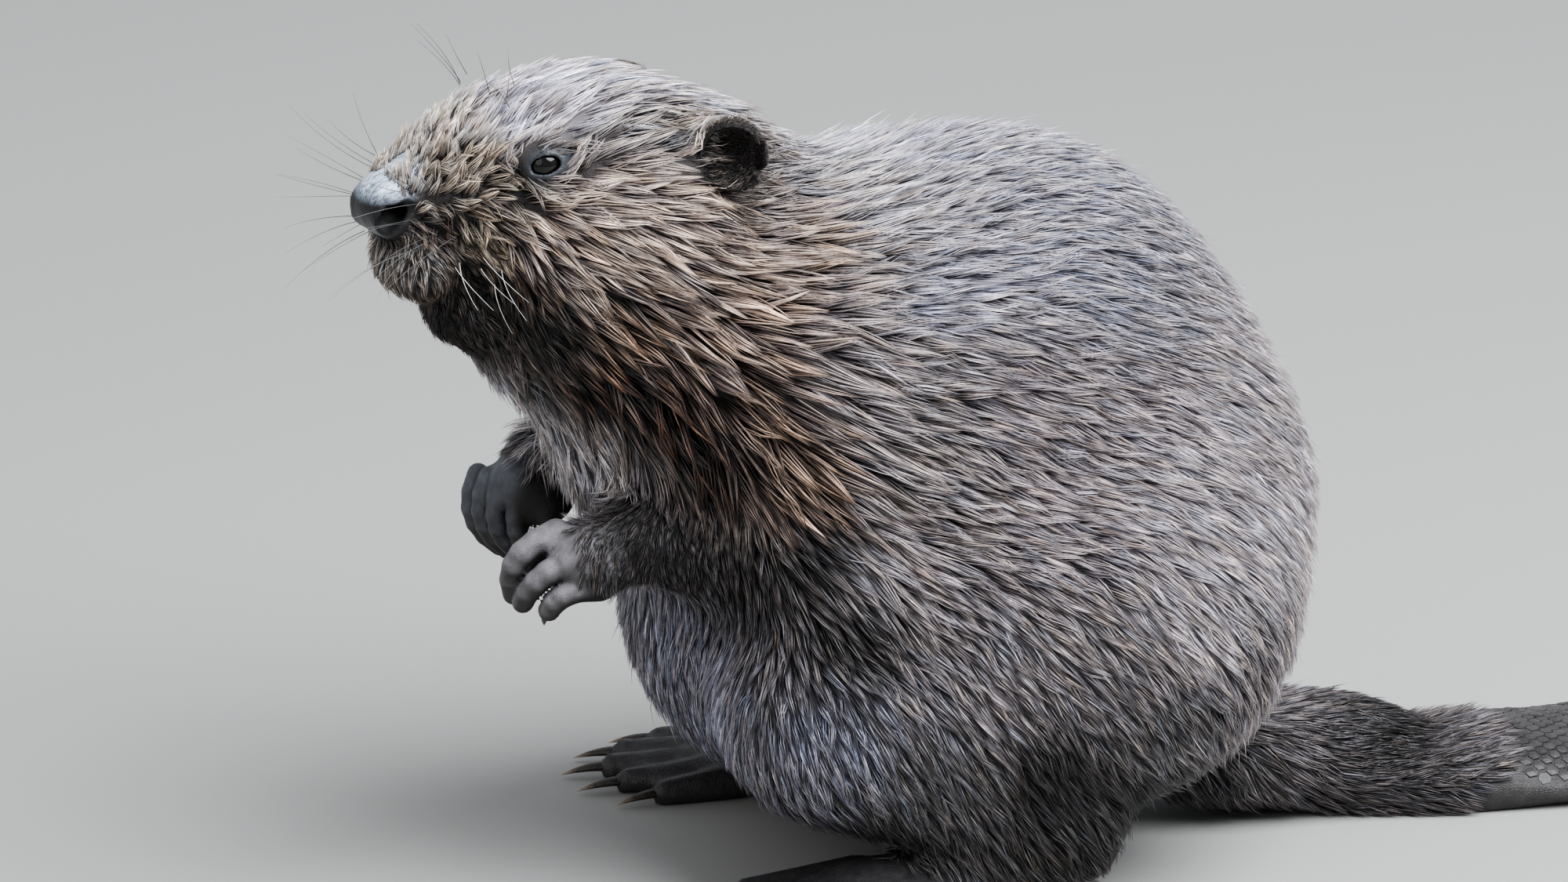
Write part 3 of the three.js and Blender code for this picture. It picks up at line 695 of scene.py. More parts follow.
# A guide: from where it is dropped on to the hide and its two places there, the way the hair
# lies (back, outward, up), then length, width, depth, how tightly its locks draw together, its
# spread in degrees, locks per 100 mm2, tone and piece.
HEAD_GUIDES = [
    # from the side: forward and up in the head's frame
    ("side", 122, -3, (0.2, 0.1, 1.0), 6, 0.5, 4, 0.7, 40, 12, "bridge", "face"),
    ("side", 116, -2, (0.5, 0.2, 0.9), 10, 0.52, 6, 0.93, 50, 10.3, "muzzle", "face"),
    ("side", 108, -10, (0.1, 0.3, 0.6), 10, 0.52, 6, 0.93, 65, 10.3, "muzzle", "face"),
    ("side", 113, -21, (0.6, 0.2, -0.5), 6, 0.5, 3, 0.8, 45, 9.8, "corner", "face"),
    ("side", 103, -21, (0.5, 0.2, -0.6), 11, 0.56, 5, 0.93, 45, 9.8, "muzzle", "face"),
    ("side", 97, -4, (0.9, 0.1, 0.5), 13, 0.56, 5.5, 0.93, 35, 9.2, "muzzle", "face"),
    ("side", 122, -36, (0.2, 0.1, -1.0), 6, 0.42, 2.4, 0.6, 16, 13.5, "lip", "face"),
    ("side", 117, -52, (0.2, 0.1, -1.0), 6, 0.42, 2.4, 0.6, 16, 12, "corner", "face"),
    ("side", 106, -40, (0.4, 0.1, -1.0), 6, 0.45, 2.6, 0.6, 25, 12, "corner", "face"),
    ("side", 97, -47, (0.6, 0.1, -0.9), 7, 0.5, 2.6, 0.6, 25, 10.5, "mouth", "face"),
    ("side", 84, -44, (0.8, 0.2, -0.7), 13, 0.7, 4.4, 0.85, 20, 8, "corner", "face"),
    ("side", 96, -35, (0.7, 0.2, -0.8), 11, 0.56, 4.6, 0.93, 40, 9.2, "muzzle", "face"),
    ("side", 106, -62, (0.2, 0.0, -1.0), 6, 0.45, 2.4, 0.5, 20, 12, "mouth", "face"),
    ("side", 88, -54, (0.6, 0.0, -0.8), 12, 0.7, 3.4, 0.6, 20, 10, "mouth", "face"),
    ("side", 76, -64, (0.8, 0.0, -0.7), 20, 0.8, 5, 0.8, 22, 6, "mouth", "face"),
    ("side", 84, 8, (1.0, 0.0, 0.5), 18, 0.8, 4.6, 0.93, 17, 4.1, "crown", "crown"),
    ("side", 88, -12, (1.0, 0.2, -0.15), 14, 0.75, 4.8, 0.93, 28, 5.2, "muzzle", "crown"),
    ("side", 84, -26, (0.9, 0.2, -0.6), 17, 0.75, 5.6, 0.9, 22, 5.6, "cheek", "cheek"),
    ("side", 62, 12, (1.0, 0.0, 0.12), 24, 0.92, 4, 0.93, 11, 2.5, "crown", "crown"),
    ("side", 75, 6, (1.0, 0.0, 0.3), 14, 0.72, 4.2, 0.93, 15, 4.6, "brow", "crown"),
    ("side", 58, 2, (1.0, 0.0, 0.02), 21, 0.86, 4.2, 0.93, 12, 3.1, "brow", "crown"),
    ("side", 54, -9, (1.0, 0.1, -0.2), 19, 0.75, 4.6, 0.88, 12, 4.1, "cheek", "cheek"),
    ("side", 30, 6, (1.0, 0.1, -0.06), 25, 0.92, 4.6, 0.93, 12, 2.3, "brow", "crown"),
    ("side", 12, -4, (1.0, 0.2, -0.1), 17, 0.8, 4.4, 0.93, 16, 3.6, "brow", "crown"),
    ("side", 66, -32, (0.9, 0.1, -0.62), 19, 0.95, 6.6, 0.93, 11, 3.2, "cheek", "cheek"),
    ("side", 38, -32, (0.9, 0.1, -0.58), 22, 1, 7.2, 0.94, 9, 2.7, "cheek", "cheek"),
    ("side", 14, -34, (0.9, 0.1, -0.55), 23, 1, 7.4, 0.93, 9, 2.4, "cheek", "cheek"),
    ("side", 24, -14, (1.0, 0.1, -0.30), 19, 0.9, 5.8, 0.9, 9, 3.2, "cheek", "cheek"),
    ("side", 52, -62, (0.85, 0.0, -0.62), 24, 1.05, 8.4, 0.95, 12, 2.1, "jaw", "cheek"),
    ("side", 26, -66, (0.85, 0.0, -0.60), 26, 1.05, 8.6, 0.95, 10, 2, "neck", "cheek"),
    ("side", 62, -84, (0.7, 0.0, -0.8), 24, 1, 8, 0.93, 18, 2.2, "throat", "throat"),
    ("side", 34, -92, (0.8, 0.0, -0.75), 27, 1.05, 8.4, 0.94, 14, 2, "throat", "throat"),
    # from above: forward and aside
    ("top", 120, 6, (-0.2, 0.1, 0.9), 5, 0.45, 3.6, 0.6, 30, 13.5, "bridge", "face"),
    ("top", 104, 6, (0.7, 0.1, 0.7), 9, 0.55, 5, 0.75, 30, 9, "bridge", "face"),
    ("top", 84, 4, (1.0, 0.05, 0.5), 17, 0.8, 4.6, 0.93, 14, 4.1, "crown", "crown"),
    ("top", 60, 6, (1.0, 0.1, 0.1), 22, 0.86, 4.2, 0.93, 10, 2.5, "crown", "crown"),
    ("top", 30, 8, (1.0, 0.05, -0.1), 26, 0.92, 4.6, 0.93, 10, 2.3, "crown", "crown"),
    ("top", 0, 10, (1.0, 0.1, -0.25), 29, 0.98, 5.8, 0.93, 10, 2.2, "nape", "crown"),
    # the ears: from behind, from above and from the side
    ("front", 50, -4, (1.0, 0.5, 0.2), 3.5, 0.4, 1, 0.3, 20, 12, "ear", "crown"),
    ("front", 40, 2, (1.0, 0.3, 0.3), 7, 0.45, 1.6, 0.3, 20, 6.8, "brow", "crown"),
    ("top", -4, 48, (0.8, 0.3, 0.6), 3.5, 0.4, 1.4, 0.3, 25, 12, "ear", "crown"),
    ("top", -6, 40, (0.8, 0.0, 0.8), 9, 0.5, 4, 0.6, 30, 6.8, "brow", "crown"),
    ("side", -11, -2, (0.8, 0.5, 0.2), 3.5, 0.4, 1, 0.3, 20, 12, "ear", "crown"),
    ("side", -6, -16, (0.9, 0.3, -0.4), 6, 0.45, 1.6, 0.5, 20, 10, "ear", "crown"),
    # from below, at the middle: forward and aside
    ("under", 100, 4, (0.9, 0.0, -0.3), 8, 0.5, 2.8, 0.5, 20, 10.5, "mouth", "face"),
    ("under", 78, 4, (0.8, 0.1, -0.7), 15, 0.65, 6, 0.7, 20, 5.2, "chest", "throat"),
    ("under", 56, 6, (0.7, 0.1, -0.8), 22, 0.75, 7.4, 0.8, 20, 3.8, "chest", "throat"),
]
BODY_GUIDES = [
    # from the side: x and z
    ("side", -100, 250, (0.9, 0.0, -0.52), 28, 1.1, 8.4, 0.95, 10, 1.8, "neck", "neck"),
    ("side", -76, 268, (0.95, 0.0, -0.42), 26, 1.05, 8, 0.92, 9, 2, "cheek", "neck"),
    ("side", -56, 276, (1.0, 0.0, -0.25), 30, 0.95, 8, 0.85, 9, 2.7, "nape", "neck"),
    ("side", -104, 216, (0.85, 0.0, -0.62), 29, 1.15, 8.8, 0.95, 11, 1.7, "jaw", "neck"),
    ("side", -134, 212, (0.8, 0.0, -0.65), 25, 1, 8.4, 0.94, 14, 2.2, "throat", "throat"),
    ("side", -118, 196, (0.7, 0.0, -0.8), 27, 1.1, 8.4, 0.94, 18, 2, "throat", "throat"),
    ("side", -74, 226, (0.92, 0.0, -0.5), 29, 1.15, 8.6, 0.95, 10, 1.7, "shoulder", "neck"),
    ("side", -88, 190, (0.8, 0.0, -0.65), 28, 1.1, 8.6, 0.94, 12, 1.9, "jaw", "neck"),
    ("side", -60, 196, (0.85, 0.0, -0.55), 33, 1.05, 8.4, 0.92, 10, 2.2, "shoulder", "neck"),
    ("side", -30, 250, (1.0, 0.0, -0.16), 18, 0.66, 5.4, 0.68, 8, 5.6, "back", "back"),
    ("side", 10, 262, (1.0, 0.0, -0.10), 17, 0.62, 5.4, 0.63, 8, 6.7, "back", "back"),
    ("side", 50, 246, (0.9, 0.0, -0.35), 17, 0.62, 5.4, 0.63, 8, 6.7, "back", "back"),
    ("side", -36, 214, (1.0, 0.0, -0.30), 19, 0.7, 5.6, 0.77, 8, 4.7, "shoulder", "flank"),
    ("side", 0, 210, (1.0, 0.0, -0.34), 19, 0.66, 5.7, 0.72, 8, 5.6, "flank", "flank"),
    ("side", 48, 200, (0.9, 0.0, -0.52), 17, 0.66, 5.7, 0.68, 8, 6.7, "flank", "flank"),
    ("side", -30, 168, (0.85, 0.0, -0.5), 19, 0.74, 5.7, 0.79, 9, 4.7, "shoulder", "flank"),
    ("side", 16, 160, (0.85, 0.0, -0.55), 18, 0.7, 5.7, 0.74, 9, 5.6, "flank", "flank"),
    ("side", 76, 176, (0.72, 0.0, -0.75), 16, 0.62, 5.7, 0.63, 9, 5.5, "rump", "rump"),
    ("side", 104, 150, (0.5, 0.0, -0.9), 15, 0.62, 5.7, 0.59, 9, 5.5, "rump", "rump"),
    ("side", 72, 130, (0.6, 0.0, -0.85), 16, 0.66, 5.7, 0.65, 9, 5, "rump", "rump"),
    ("side", 100, 96, (0.3, 0.0, -1.0), 15, 0.62, 5.7, 0.59, 9, 5.5, "thigh", "rump"),
    ("side", 28, 116, (0.7, 0.0, -0.8), 16, 0.7, 5.4, 0.72, 9, 6.2, "thigh", "thigh"),
    ("side", -20, 112, (0.6, 0.0, -0.85), 15, 0.66, 5.3, 0.7, 9, 6.7, "thigh", "thigh"),
    ("side", 60, 80, (0.5, 0.0, -0.9), 14, 0.66, 5.4, 0.65, 9, 7.3, "low", "thigh"),
    ("side", 10, 66, (0.5, 0.0, -0.9), 14, 0.66, 5.3, 0.65, 9, 7.3, "under", "thigh"),
    ("side", -40, 74, (0.45, 0.0, -0.9), 18, 0.75, 4.9, 0.65, 9, 9, "low", "thigh"),
    ("side", -80, 84, (0.3, 0.0, -1.0), 15, 0.7, 4.6, 0.6, 10, 7.2, "belly", "belly"),
    ("side", -60, 40, (0.4, 0.0, -0.9), 16, 0.8, 4.6, 0.6, 10, 5.9, "under", "belly"),
    ("side", 20, 24, (0.5, 0.0, -0.8), 17, 0.85, 4.9, 0.65, 10, 7, "under", "thigh"),
    ("side", 90, 40, (0.3, 0.0, -1.0), 20, 0.85, 5.3, 0.65, 10, 5.2, "under", "rump"),
    ("side", 52, 48, (0.5, 0.0, -0.9), 15, 0.66, 5.2, 0.6, 9, 6, "under", "thigh"),
    # the arm, from the side
    ("side", -84, 158, (0.75, 0.0, -0.7), 20, 0.8, 5.5, 0.9, 9, 4.2, "arm", "arm"),
    ("side", -58, 150, (0.6, 0.0, -0.8), 21, 0.8, 5.5, 0.88, 9, 4.2, "thigh", "arm"),
    ("side", -70, 128, (0.6, 0.0, -0.8), 18, 0.78, 5, 0.86, 9, 4.6, "arm", "arm"),
    ("side", -104, 146, (0.35, 0.0, -1.0), 12, 0.62, 3.6, 0.8, 8, 7, "arm", "arm"),
    ("side", -124, 148, (0.1, 0.0, -1.0), 7, 0.48, 1.8, 0.7, 8, 10, "arm", "arm"),
    ("side", -142, 149, (-0.3, 0.0, -1.0), 6, 0.45, 1.4, 0.5, 9, 10, "arm", "arm"),
    ("front", 46, 160, (-0.4, 0.2, -0.8), 6, 0.45, 1.4, 0.5, 9, 10, "arm", "arm"),
    # from the front: y and z
    ("front", 10, 186, (-0.1, 0.3, -1.0), 20, 0.75, 7.8, 0.75, 22, 4.5, "chest", "throat"),
    ("front", 34, 178, (-0.1, 0.2, -1.0), 20, 0.75, 7.8, 0.75, 22, 4.5, "chest", "throat"),
    ("front", 20, 150, (-0.1, 0.1, -1.0), 18, 0.7, 7.4, 0.65, 16, 5.2, "chest", "belly"),
    ("front", 30, 116, (0.1, 0.1, -1.0), 15, 0.7, 4.8, 0.6, 12, 6.5, "belly", "belly"),
    ("front", 60, 96, (0.2, 0.1, -1.0), 15, 0.7, 4.8, 0.6, 12, 6.5, "belly", "belly"),
    ("front", 24, 66, (0.4, 0.0, -1.0), 15, 0.75, 4.8, 0.6, 12, 6.5, "belly", "belly"),
    ("front", 40, 34, (0.7, 0.0, -0.8), 15, 0.8, 4.8, 0.6, 12, 5.2, "under", "belly"),
    # from above: x and y
    ("top", -60, 10, (1.0, 0.1, 0.0), 28, 0.9, 8, 0.8, 8, 3.4, "nape", "neck"),
    ("top", -20, 14, (1.0, 0.1, 0.0), 17, 0.66, 5.4, 0.68, 8, 6.2, "back", "back"),
    ("top", 30, 16, (1.0, 0.1, -0.1), 17, 0.62, 5.4, 0.63, 8, 6.7, "back", "back"),
    ("top", 74, 20, (0.9, 0.1, -0.4), 16, 0.62, 5.6, 0.63, 8, 6.7, "back", "back"),
    # from behind: y and z
    ("behind", 20, 196, (0.7, 0.1, -0.8), 16, 0.62, 5.7, 0.63, 8, 5.5, "rump", "rump"),
    ("behind", 24, 150, (0.4, 0.1, -1.0), 15, 0.62, 5.7, 0.59, 8, 5.5, "rump", "rump"),
    ("behind", 60, 120, (0.3, 0.1, -1.0), 15, 0.62, 5.7, 0.59, 8, 5.5, "rump", "rump"),
    ("behind", 30, 90, (0.3, 0.1, -1.0), 14, 0.62, 5.4, 0.59, 8, 5.5, "thigh", "rump"),
    # the tail's furred root
    ("top", 136, 12, (1.0, 0.1, -0.2), 14, 0.66, 3.7, 0.59, 8, 5.8, "thigh", "rump"),
    ("top", 176, 14, (1.0, 0.1, -0.1), 15, 0.75, 2.6, 0.65, 8, 6.8, "arm", "rump"),
]
GUIDE_SOFTNESS = 9.0  # mm2; how far two guides close together melt
GUIDE_FALL = 1.65  # how fast a guide's share falls with distance
REACH = 420  # mm that a guide is dropped



def first_touch(start, way):
    """Where a straight line first meets the hide."""
    line = start + np.arange(0, REACH, 1.0)[:, None] * way
    inside = np.nonzero(sample_grid(line)[0] < 0)[0]
    return line[inside[0]]


def dropped(cast, a, b, side):
    """Start and way of a guide's drop, with x forward for a head guide and backward for others."""
    return {
        "side": ((a, side * 210, b), (0, -side, 0)),
        "front": ((-260, side * a, b), (1, 0, 0)),
        "behind": ((240, side * a, b), (-1, 0, 0)),
        "top": ((a, side * b, 400), (0, 0, -1)),
        "under": ((a, side * b, -230), (0, 0, 1)),
    }[cast]


guides = []
for row in HEAD_GUIDES + BODY_GUIDES:
    cast, a, b, (back, out, up), *look = row
    for side in (-1, 1):
        start, way = (np.array(v, float) for v in dropped(cast, a, b, side))
        lie = np.array([back, side * out, up])
        if row in HEAD_GUIDES:
            start, way = in_head(*start), HEAD_TURN @ way
            lie = HEAD_TURN @ (lie * (-1, 1, 1))
        guides.append((first_touch(start, way), lie / np.linalg.norm(lie), look))
guide_places = np.array([place for place, _, _ in guides])
guide_lies = np.array([lie for _, lie, _ in guides])
guide_sizes = np.array([look[:6] for _, _, look in guides], float)
guide_tones = np.array([TONES[look[6]] for _, _, look in guides])
guide_pieces = np.array([look[7] for _, _, look in guides])


def comb(points):
    """Each guide's share in the coat at each point, by nearness."""
    share = np.empty((len(points), len(guide_places)), np.float32)
    for n, place in enumerate(guide_places):
        share[:, n] = 1 / (((points - place) ** 2).sum(1) + GUIDE_SOFTNESS) ** GUIDE_FALL
    return share / share.sum(1, keepdims=True)


# the forms that bound the bare places and the short-haired ears
nose_pad = [
    head_egg((136.5, 0, -19), (14.6, 23, 14.4), 1),
    limb(in_head(124, 0, -9), 7, in_head(113, 0, -2), 4.5, 2),
]
# The top of the nose is painted pale blue: a painted reflection of the light from above on the wet leather.
nose_top_painted_reflection = [head_egg((126, 0, -6.5), (12, 14, 7), 1)]
nostrils = [dict(block, cut=False) for block in both(nostril)]
lip_line = [dict(block, cut=False) for block in mouth()]
eye_rims, ear_bowls, ear_shells = [], [], []
for side in SIDES:
    axes, centre = eye_turn(side), on_head(side, EYE_PLACE)
    eye_rims.append(turned_egg(centre, (9.1, 7.0, 12), 1, axes))
    inner_corner = centre - 9.5 * axes[:, 0] - 2 * axes[:, 1]
    eye_rims.append(turned_egg(inner_corner, (4.5, 2.2, 12), 2, axes))
    axes, centre = ear_axes(side), on_head(side, EAR_PLACE)
    ear_shells.append(turned_egg(centre, np.array(EAR_HALF) + 1.0, 1, axes))
    ear_bowls.append(turned_egg(centre + 4 * axes[:, 0], (20, 13.2, 14.2), 1, axes))
foot_skin = both(lambda side: feet[side][0])
blade_skin = [egg((300, 15, 7), (124, 62, 20), 1, (0, 0, TAIL_SWEEP))]
# Painted shadow: the far palm's hollow and the near paw's underside, painted black.
palm_painted_shadow = [egg((-155, 25, 145), (15, 13, 17), 1), egg((-146, -42, 127), (22, 18, 9), 1)]
BARE = [  # forms, colour, mm past the form, mm over which it fades, how wet, and if no hair grows
    (nose_pad, (0.010, 0.010, 0.012), 0, 1.5, 1, True),
    # painted reflection on the top of the nose
    (nose_top_painted_reflection, (0.60, 0.70, 0.83), 0, 6, 1, False),
    # the nostrils painted black inside: painted shade in the holes
    (nostrils, (0.002, 0.002, 0.002), 0.4, 0.7, 0, True),
    (lip_line, (0.005, 0.004, 0.004), 0.6, 1.5, 0.6, False),
    (eye_rims, (0.050, 0.054, 0.064), 0, 1.2, 1, True),
    (ear_shells, (0.030, 0.021, 0.018), 0, 1, 0.2, False),
    # the ear's bowl near black: partly its own dark skin, partly painted shade in the hollow
    (ear_bowls, (0.006, 0.004, 0.004), 0, 1.2, 0.1, False),
    # The near forepaw is painted pale, a painted sheen of the light from above, and the far one darker,
    # as painted shade: one skin, lit and shaded.
    (paws["left"][0][1:], (0.20, 0.19, 0.20), 0.8, 5, 0.6, True),
    (paws["right"][0], (0.095, 0.102, 0.12), 0.8, 5, 0.7, True),
    # painted shadow in the palms
    (palm_painted_shadow, (0.004, 0.004, 0.004), 0, 4, 0.2, True),
    (foot_skin, (0.045, 0.042, 0.044), 1.5, 5, 0.7, True),
    (blade_skin, (0.028, 0.025, 0.024), 0, 8, 0.6, True),
]
SOLE_HEIGHT = 3  # mm over the floor, under which no hair grows
SHORT_HAIRED = [(ear_shells, "ear_back"), (ear_bowls, "ear")]
SHORT_HAIR = 3.2  # mm; as long as hair grows on these


def bareness(points):
    """Where no tuft grows."""
    bare = points[:, 2] < SOLE_HEIGHT
    for blocks, _, reach, _, _, hairless in BARE:
        if hairless:
            bare |= field_at(blocks, points) < reach
    return bare


def colour_attribute(mesh, name, values):
    attribute = mesh.attributes.new(name, "FLOAT_COLOR", "POINT")
    rgba = np.ones((len(values), 4), np.float32)
    rgba[:, :3] = values
    attribute.data.foreach_set("color", rgba.ravel())


def number_attribute(mesh, name, values):
    attribute = mesh.attributes.new(name, "FLOAT", "POINT")
    attribute.data.foreach_set("value", np.asarray(values, np.float32))


# The hide takes the tones at the roots, partly painted shade deep in the coat; then the bare
# places' colours, among them painted reflection and painted shade, are laid over them.
skin_colour = comb(skin_points) @ guide_tones[:, 0]
wet = np.zeros(len(skin_points))  # how bare and glossy the hide is
for blocks, tone, reach, soft, wetness, _ in BARE:
    near = np.clip((reach + soft - field_at(blocks, skin_points)) / soft, 0, 1)
    skin_colour = skin_colour * (1 - near[:, None]) + np.array(tone) * near[:, None]
    wet = wet * (1 - near) + wetness * near

# the forepaws are pale on their backs, with painted shade underneath, where the skin faces down, and in the
# creases between the fingers
PAW_PAINTED_SHADE = (0.010, 0.007, 0.006)
PAW_SHADE_MOST = 0.93  # share of it at most
CREASE_SHADE_WIDTH = 2.4  # mm from the second nearest finger over which a crease fades
skin_up = sample_grid(skin_points)[1][:, 2]
for side in SIDES:
    forms = paws[side][0]
    on_paw = field_at(forms[1:], skin_points) < 1.5
    per_digit = FINGER_JOINTS - 1
    digits = [forms[n : n + per_digit] for n in range(2, len(forms), per_digit)]
    spread = np.sort([field_at(digit, skin_points[on_paw]) for digit in digits], axis=0)
    crease_shade = np.clip(1.25 - spread[1] / CREASE_SHADE_WIDTH, 0, 1)
    # painted shade where the paw's skin faces down
    under = np.clip((0.45 - skin_up[on_paw]) / 0.95, 0, 1)
    dark = np.maximum(crease_shade, under**0.8)[:, None] * PAW_SHADE_MOST
    skin_colour[on_paw] = skin_colour[on_paw] * (1 - dark) + np.array(PAW_PAINTED_SHADE) * dark
colour_attribute(skin.data, "tone", skin_colour)
number_attribute(skin.data, "wet", wet)
number_attribute(skin.data, "pad", np.clip(1 - field_at(nose_pad, skin_points) / 1.5, 0, 1))


def from_node(tree, kind, output, inputs=(), **settings):
    """An output of a new node, from the node's settings and what its inputs are given."""
    node = tree.nodes.new(kind)
    for name, value in settings.items():
        setattr(node, name, value)
    feed(node, inputs)
    return node.outputs[output]


def own_place(tree):
    return from_node(tree, "ShaderNodeTexCoord", "Object")


def kept_on_mesh(tree, name, output="Fac"):
    return from_node(tree, "ShaderNodeAttribute", output, attribute_name=name)


def noise(tree, place, scale, detail=4.0):
    return from_node(tree, "ShaderNodeTexNoise", "Fac", {"Vector": place, "Scale": scale, "Detail": detail})


def ranged(tree, value, low, high, new_low, new_high):
    """A value taken from one range to another."""
    inputs = {"Value": value, "From Min": low, "From Max": high, "To Min": new_low, "To Max": new_high}
    return from_node(tree, "ShaderNodeMapRange", "Result", inputs)


def raised(tree, height, depth, strength=1.0):
    """A normal for a surface with fine relief, by its depth in metres."""
    inputs = {"Height": height, "Distance": depth, "Strength": strength}
    return from_node(tree, "ShaderNodeBump", "Normal", inputs)


def wander_group():
    """A shared effect: a value that wanders about 1 over the surface."""
    group = bpy.data.node_groups.new("tone wander", "ShaderNodeTree")
    for name, value in (("Scale", 300.0), ("Low", 0.7), ("High", 1.3)):
        socket = group.interface.new_socket(name, in_out="INPUT", socket_type="NodeSocketFloat")
        socket.default_value = value
    group.interface.new_socket("Amount", in_out="OUTPUT", socket_type="NodeSocketFloat")
    given = group.nodes.new("NodeGroupInput").outputs
    wave = noise(group, own_place(group), given["Scale"])
    amount = ranged(group, wave, 0.3, 0.7, given["Low"], given["High"])
    feed(group.nodes.new("NodeGroupOutput"), {"Amount": amount})
    return group


WANDER = wander_group()


def wandering_colour(tree, colour, scale, low, high):
    """A colour, made lighter and darker over the surface by the shared effect."""
    inputs = {"Scale": scale, "Low": low, "High": high}
    amount = from_node(tree, "ShaderNodeGroup", "Amount", inputs, node_tree=WANDER)
    product = {0: colour, "Scale": amount}
    return from_node(tree, "ShaderNodeVectorMath", "Vector", product, operation="SCALE")


def hide_material():
    """Underfur and bare leathery skin: finely pebbled, wettest where it is bare."""
    material, tree, shader = new_material("hide", 0.4)
    place = own_place(tree)
    pad = kept_on_mesh(tree, "pad")
    pebble = {"Vector": place, "Scale": 820}
    pebbles = from_node(tree, "ShaderNodeTexVoronoi", "Distance", pebble, feature="DISTANCE_TO_EDGE")
    stretched = {"Vector": place, "Scale": (0.45, 1.6, 0.8)}
    wrinkles = noise(tree, from_node(tree, "ShaderNodeMapping", "Vector", stretched), 650, 3)
    colour = wandering_colour(tree, kept_on_mesh(tree, "tone", "Color"), 240, 0.72, 1.28)
    streaks = ranged(tree, wrinkles, 0.38, 0.6, 0.42, 1.3)
    mixed = {"Factor": pad, "A": colour, "B": streaks}
    colour = from_node(tree, "ShaderNodeMix", "Result", mixed, data_type="RGBA", blend_type="MULTIPLY")
    heights = from_node(tree, "ShaderNodeMix", "Result", {"Factor": pad, "A": pebbles, "B": wrinkles})
    gloss = ranged(tree, kept_on_mesh(tree, "wet"), 0, 1, 0.75, 0.36)
    normal = raised(tree, heights, 0.0007, 0.5)
    feed(shader, {"Base Color": colour, "Roughness": gloss, "Normal": normal})
    return material


skin.data.materials.append(hide_material())

# ---------------------------------------------------------------- the eyes
# Dark wet eyes, each a ball in its socket with a slightly bulging cornea over a brown iris and a
# wide round pupil.
EYE_GAZE = (0.62, 0.78, -0.08)  # forward, aside and up in the head's own frame
EYE_PLAY = 0.1  # mm between the ball and its socket
EYE_RINGS, EYE_AROUND = 24, 36
CORNEA_EDGE = math.radians(46)
CORNEA_BULGE = 0.5
IRIS_STOPS = [  # quarter turns off the axis, and colour: pupil, its edge, iris, dark rim
    (0.36, (0.0015, 0.0012, 0.0012, 1)),
    (0.42, (0.005, 0.003, 0.002, 1)),
    (0.50, (0.008, 0.004, 0.0025, 1)),
    (0.56, (0.003, 0.002, 0.002, 1)),
]


def ball_mesh(rings, around):
    """Points and triangles of a unit ball about +X."""
    points = [(1, 0, 0)]
    for ring in range(1, rings):
        polar = math.pi * ring / rings
        for n in range(around):
            turn = 2 * math.pi * n / around
            across = math.sin(polar)
            points.append((math.cos(polar), across * math.cos(turn), across * math.sin(turn)))
    points.append((-1, 0, 0))
    faces, last = [], len(points) - 1
    for n in range(around):
        m = (n + 1) % around
        faces.append((0, 1 + n, 1 + m))
        faces.append((last, last - around + m, last - around + n))
        for ring in range(rings - 2):
            a, b = 1 + ring * around + n, 1 + ring * around + m
            faces += [(a, a + around, b), (b, a + around, b + around)]
    return np.array(points, float), np.array(faces)


def ramp(tree, value, stops):
    """A colour from a value, by stops in rising order."""
    colour = from_node(tree, "ShaderNodeValToRGB", "Color", {"Fac": value})
    elements = colour.node.color_ramp.elements
    for element, (place, tone) in zip(elements, stops):
        element.position, element.color = place, tone
    for place, tone in stops[2:]:
        elements.new(place).color = tone
    return colour


def eye_material():
    """Wet and glassy: the pupil, a brown iris with fine rays, and a dark rim."""
    material, tree, shader = new_material("eye", 0.03, 0.4)
    rays = noise(tree, own_place(tree), 1400, 2)
    ragged = {0: rays, 1: 0.06, 2: kept_on_mesh(tree, "off_axis")}
    off_axis = from_node(tree, "ShaderNodeMath", "Value", ragged, operation="MULTIPLY_ADD")
    feed(shader, {
        "Base Color": ramp(tree, off_axis, IRIS_STOPS),
        "Coat Weight": 0.25,
        "Coat Roughness": 0.02,
    })
    return material


eye_finish = eye_material()
for side, s in SIDES.items():
    points, faces = ball_mesh(EYE_RINGS, EYE_AROUND)
    polar = np.arccos(points[:, 0].clip(-1, 1))
    bulge = CORNEA_BULGE * np.clip(1 - (polar / CORNEA_EDGE) ** 2, 0, 1)
    gaze = HEAD_TURN @ (np.array(EYE_GAZE) * (1, -s, 1))
    gaze /= np.linalg.norm(gaze)
    aside = np.cross((0, 0, 1.0), gaze)
    aside /= np.linalg.norm(aside)
    spin = np.column_stack([gaze, aside, np.cross(gaze, aside)])
    points = points * (EYE_RADIUS - EYE_PLAY + bulge)[:, None]
    eye = mesh_from(f"eyeball_{side}", on_head(side, EYE_PLACE) + points @ spin.T, faces, 3)
    number_attribute(eye.data, "off_axis", polar / math.pi * 2)
    eye.data.materials.append(eye_finish)
    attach(eye, "root")
    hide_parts(f"eye_{side}")

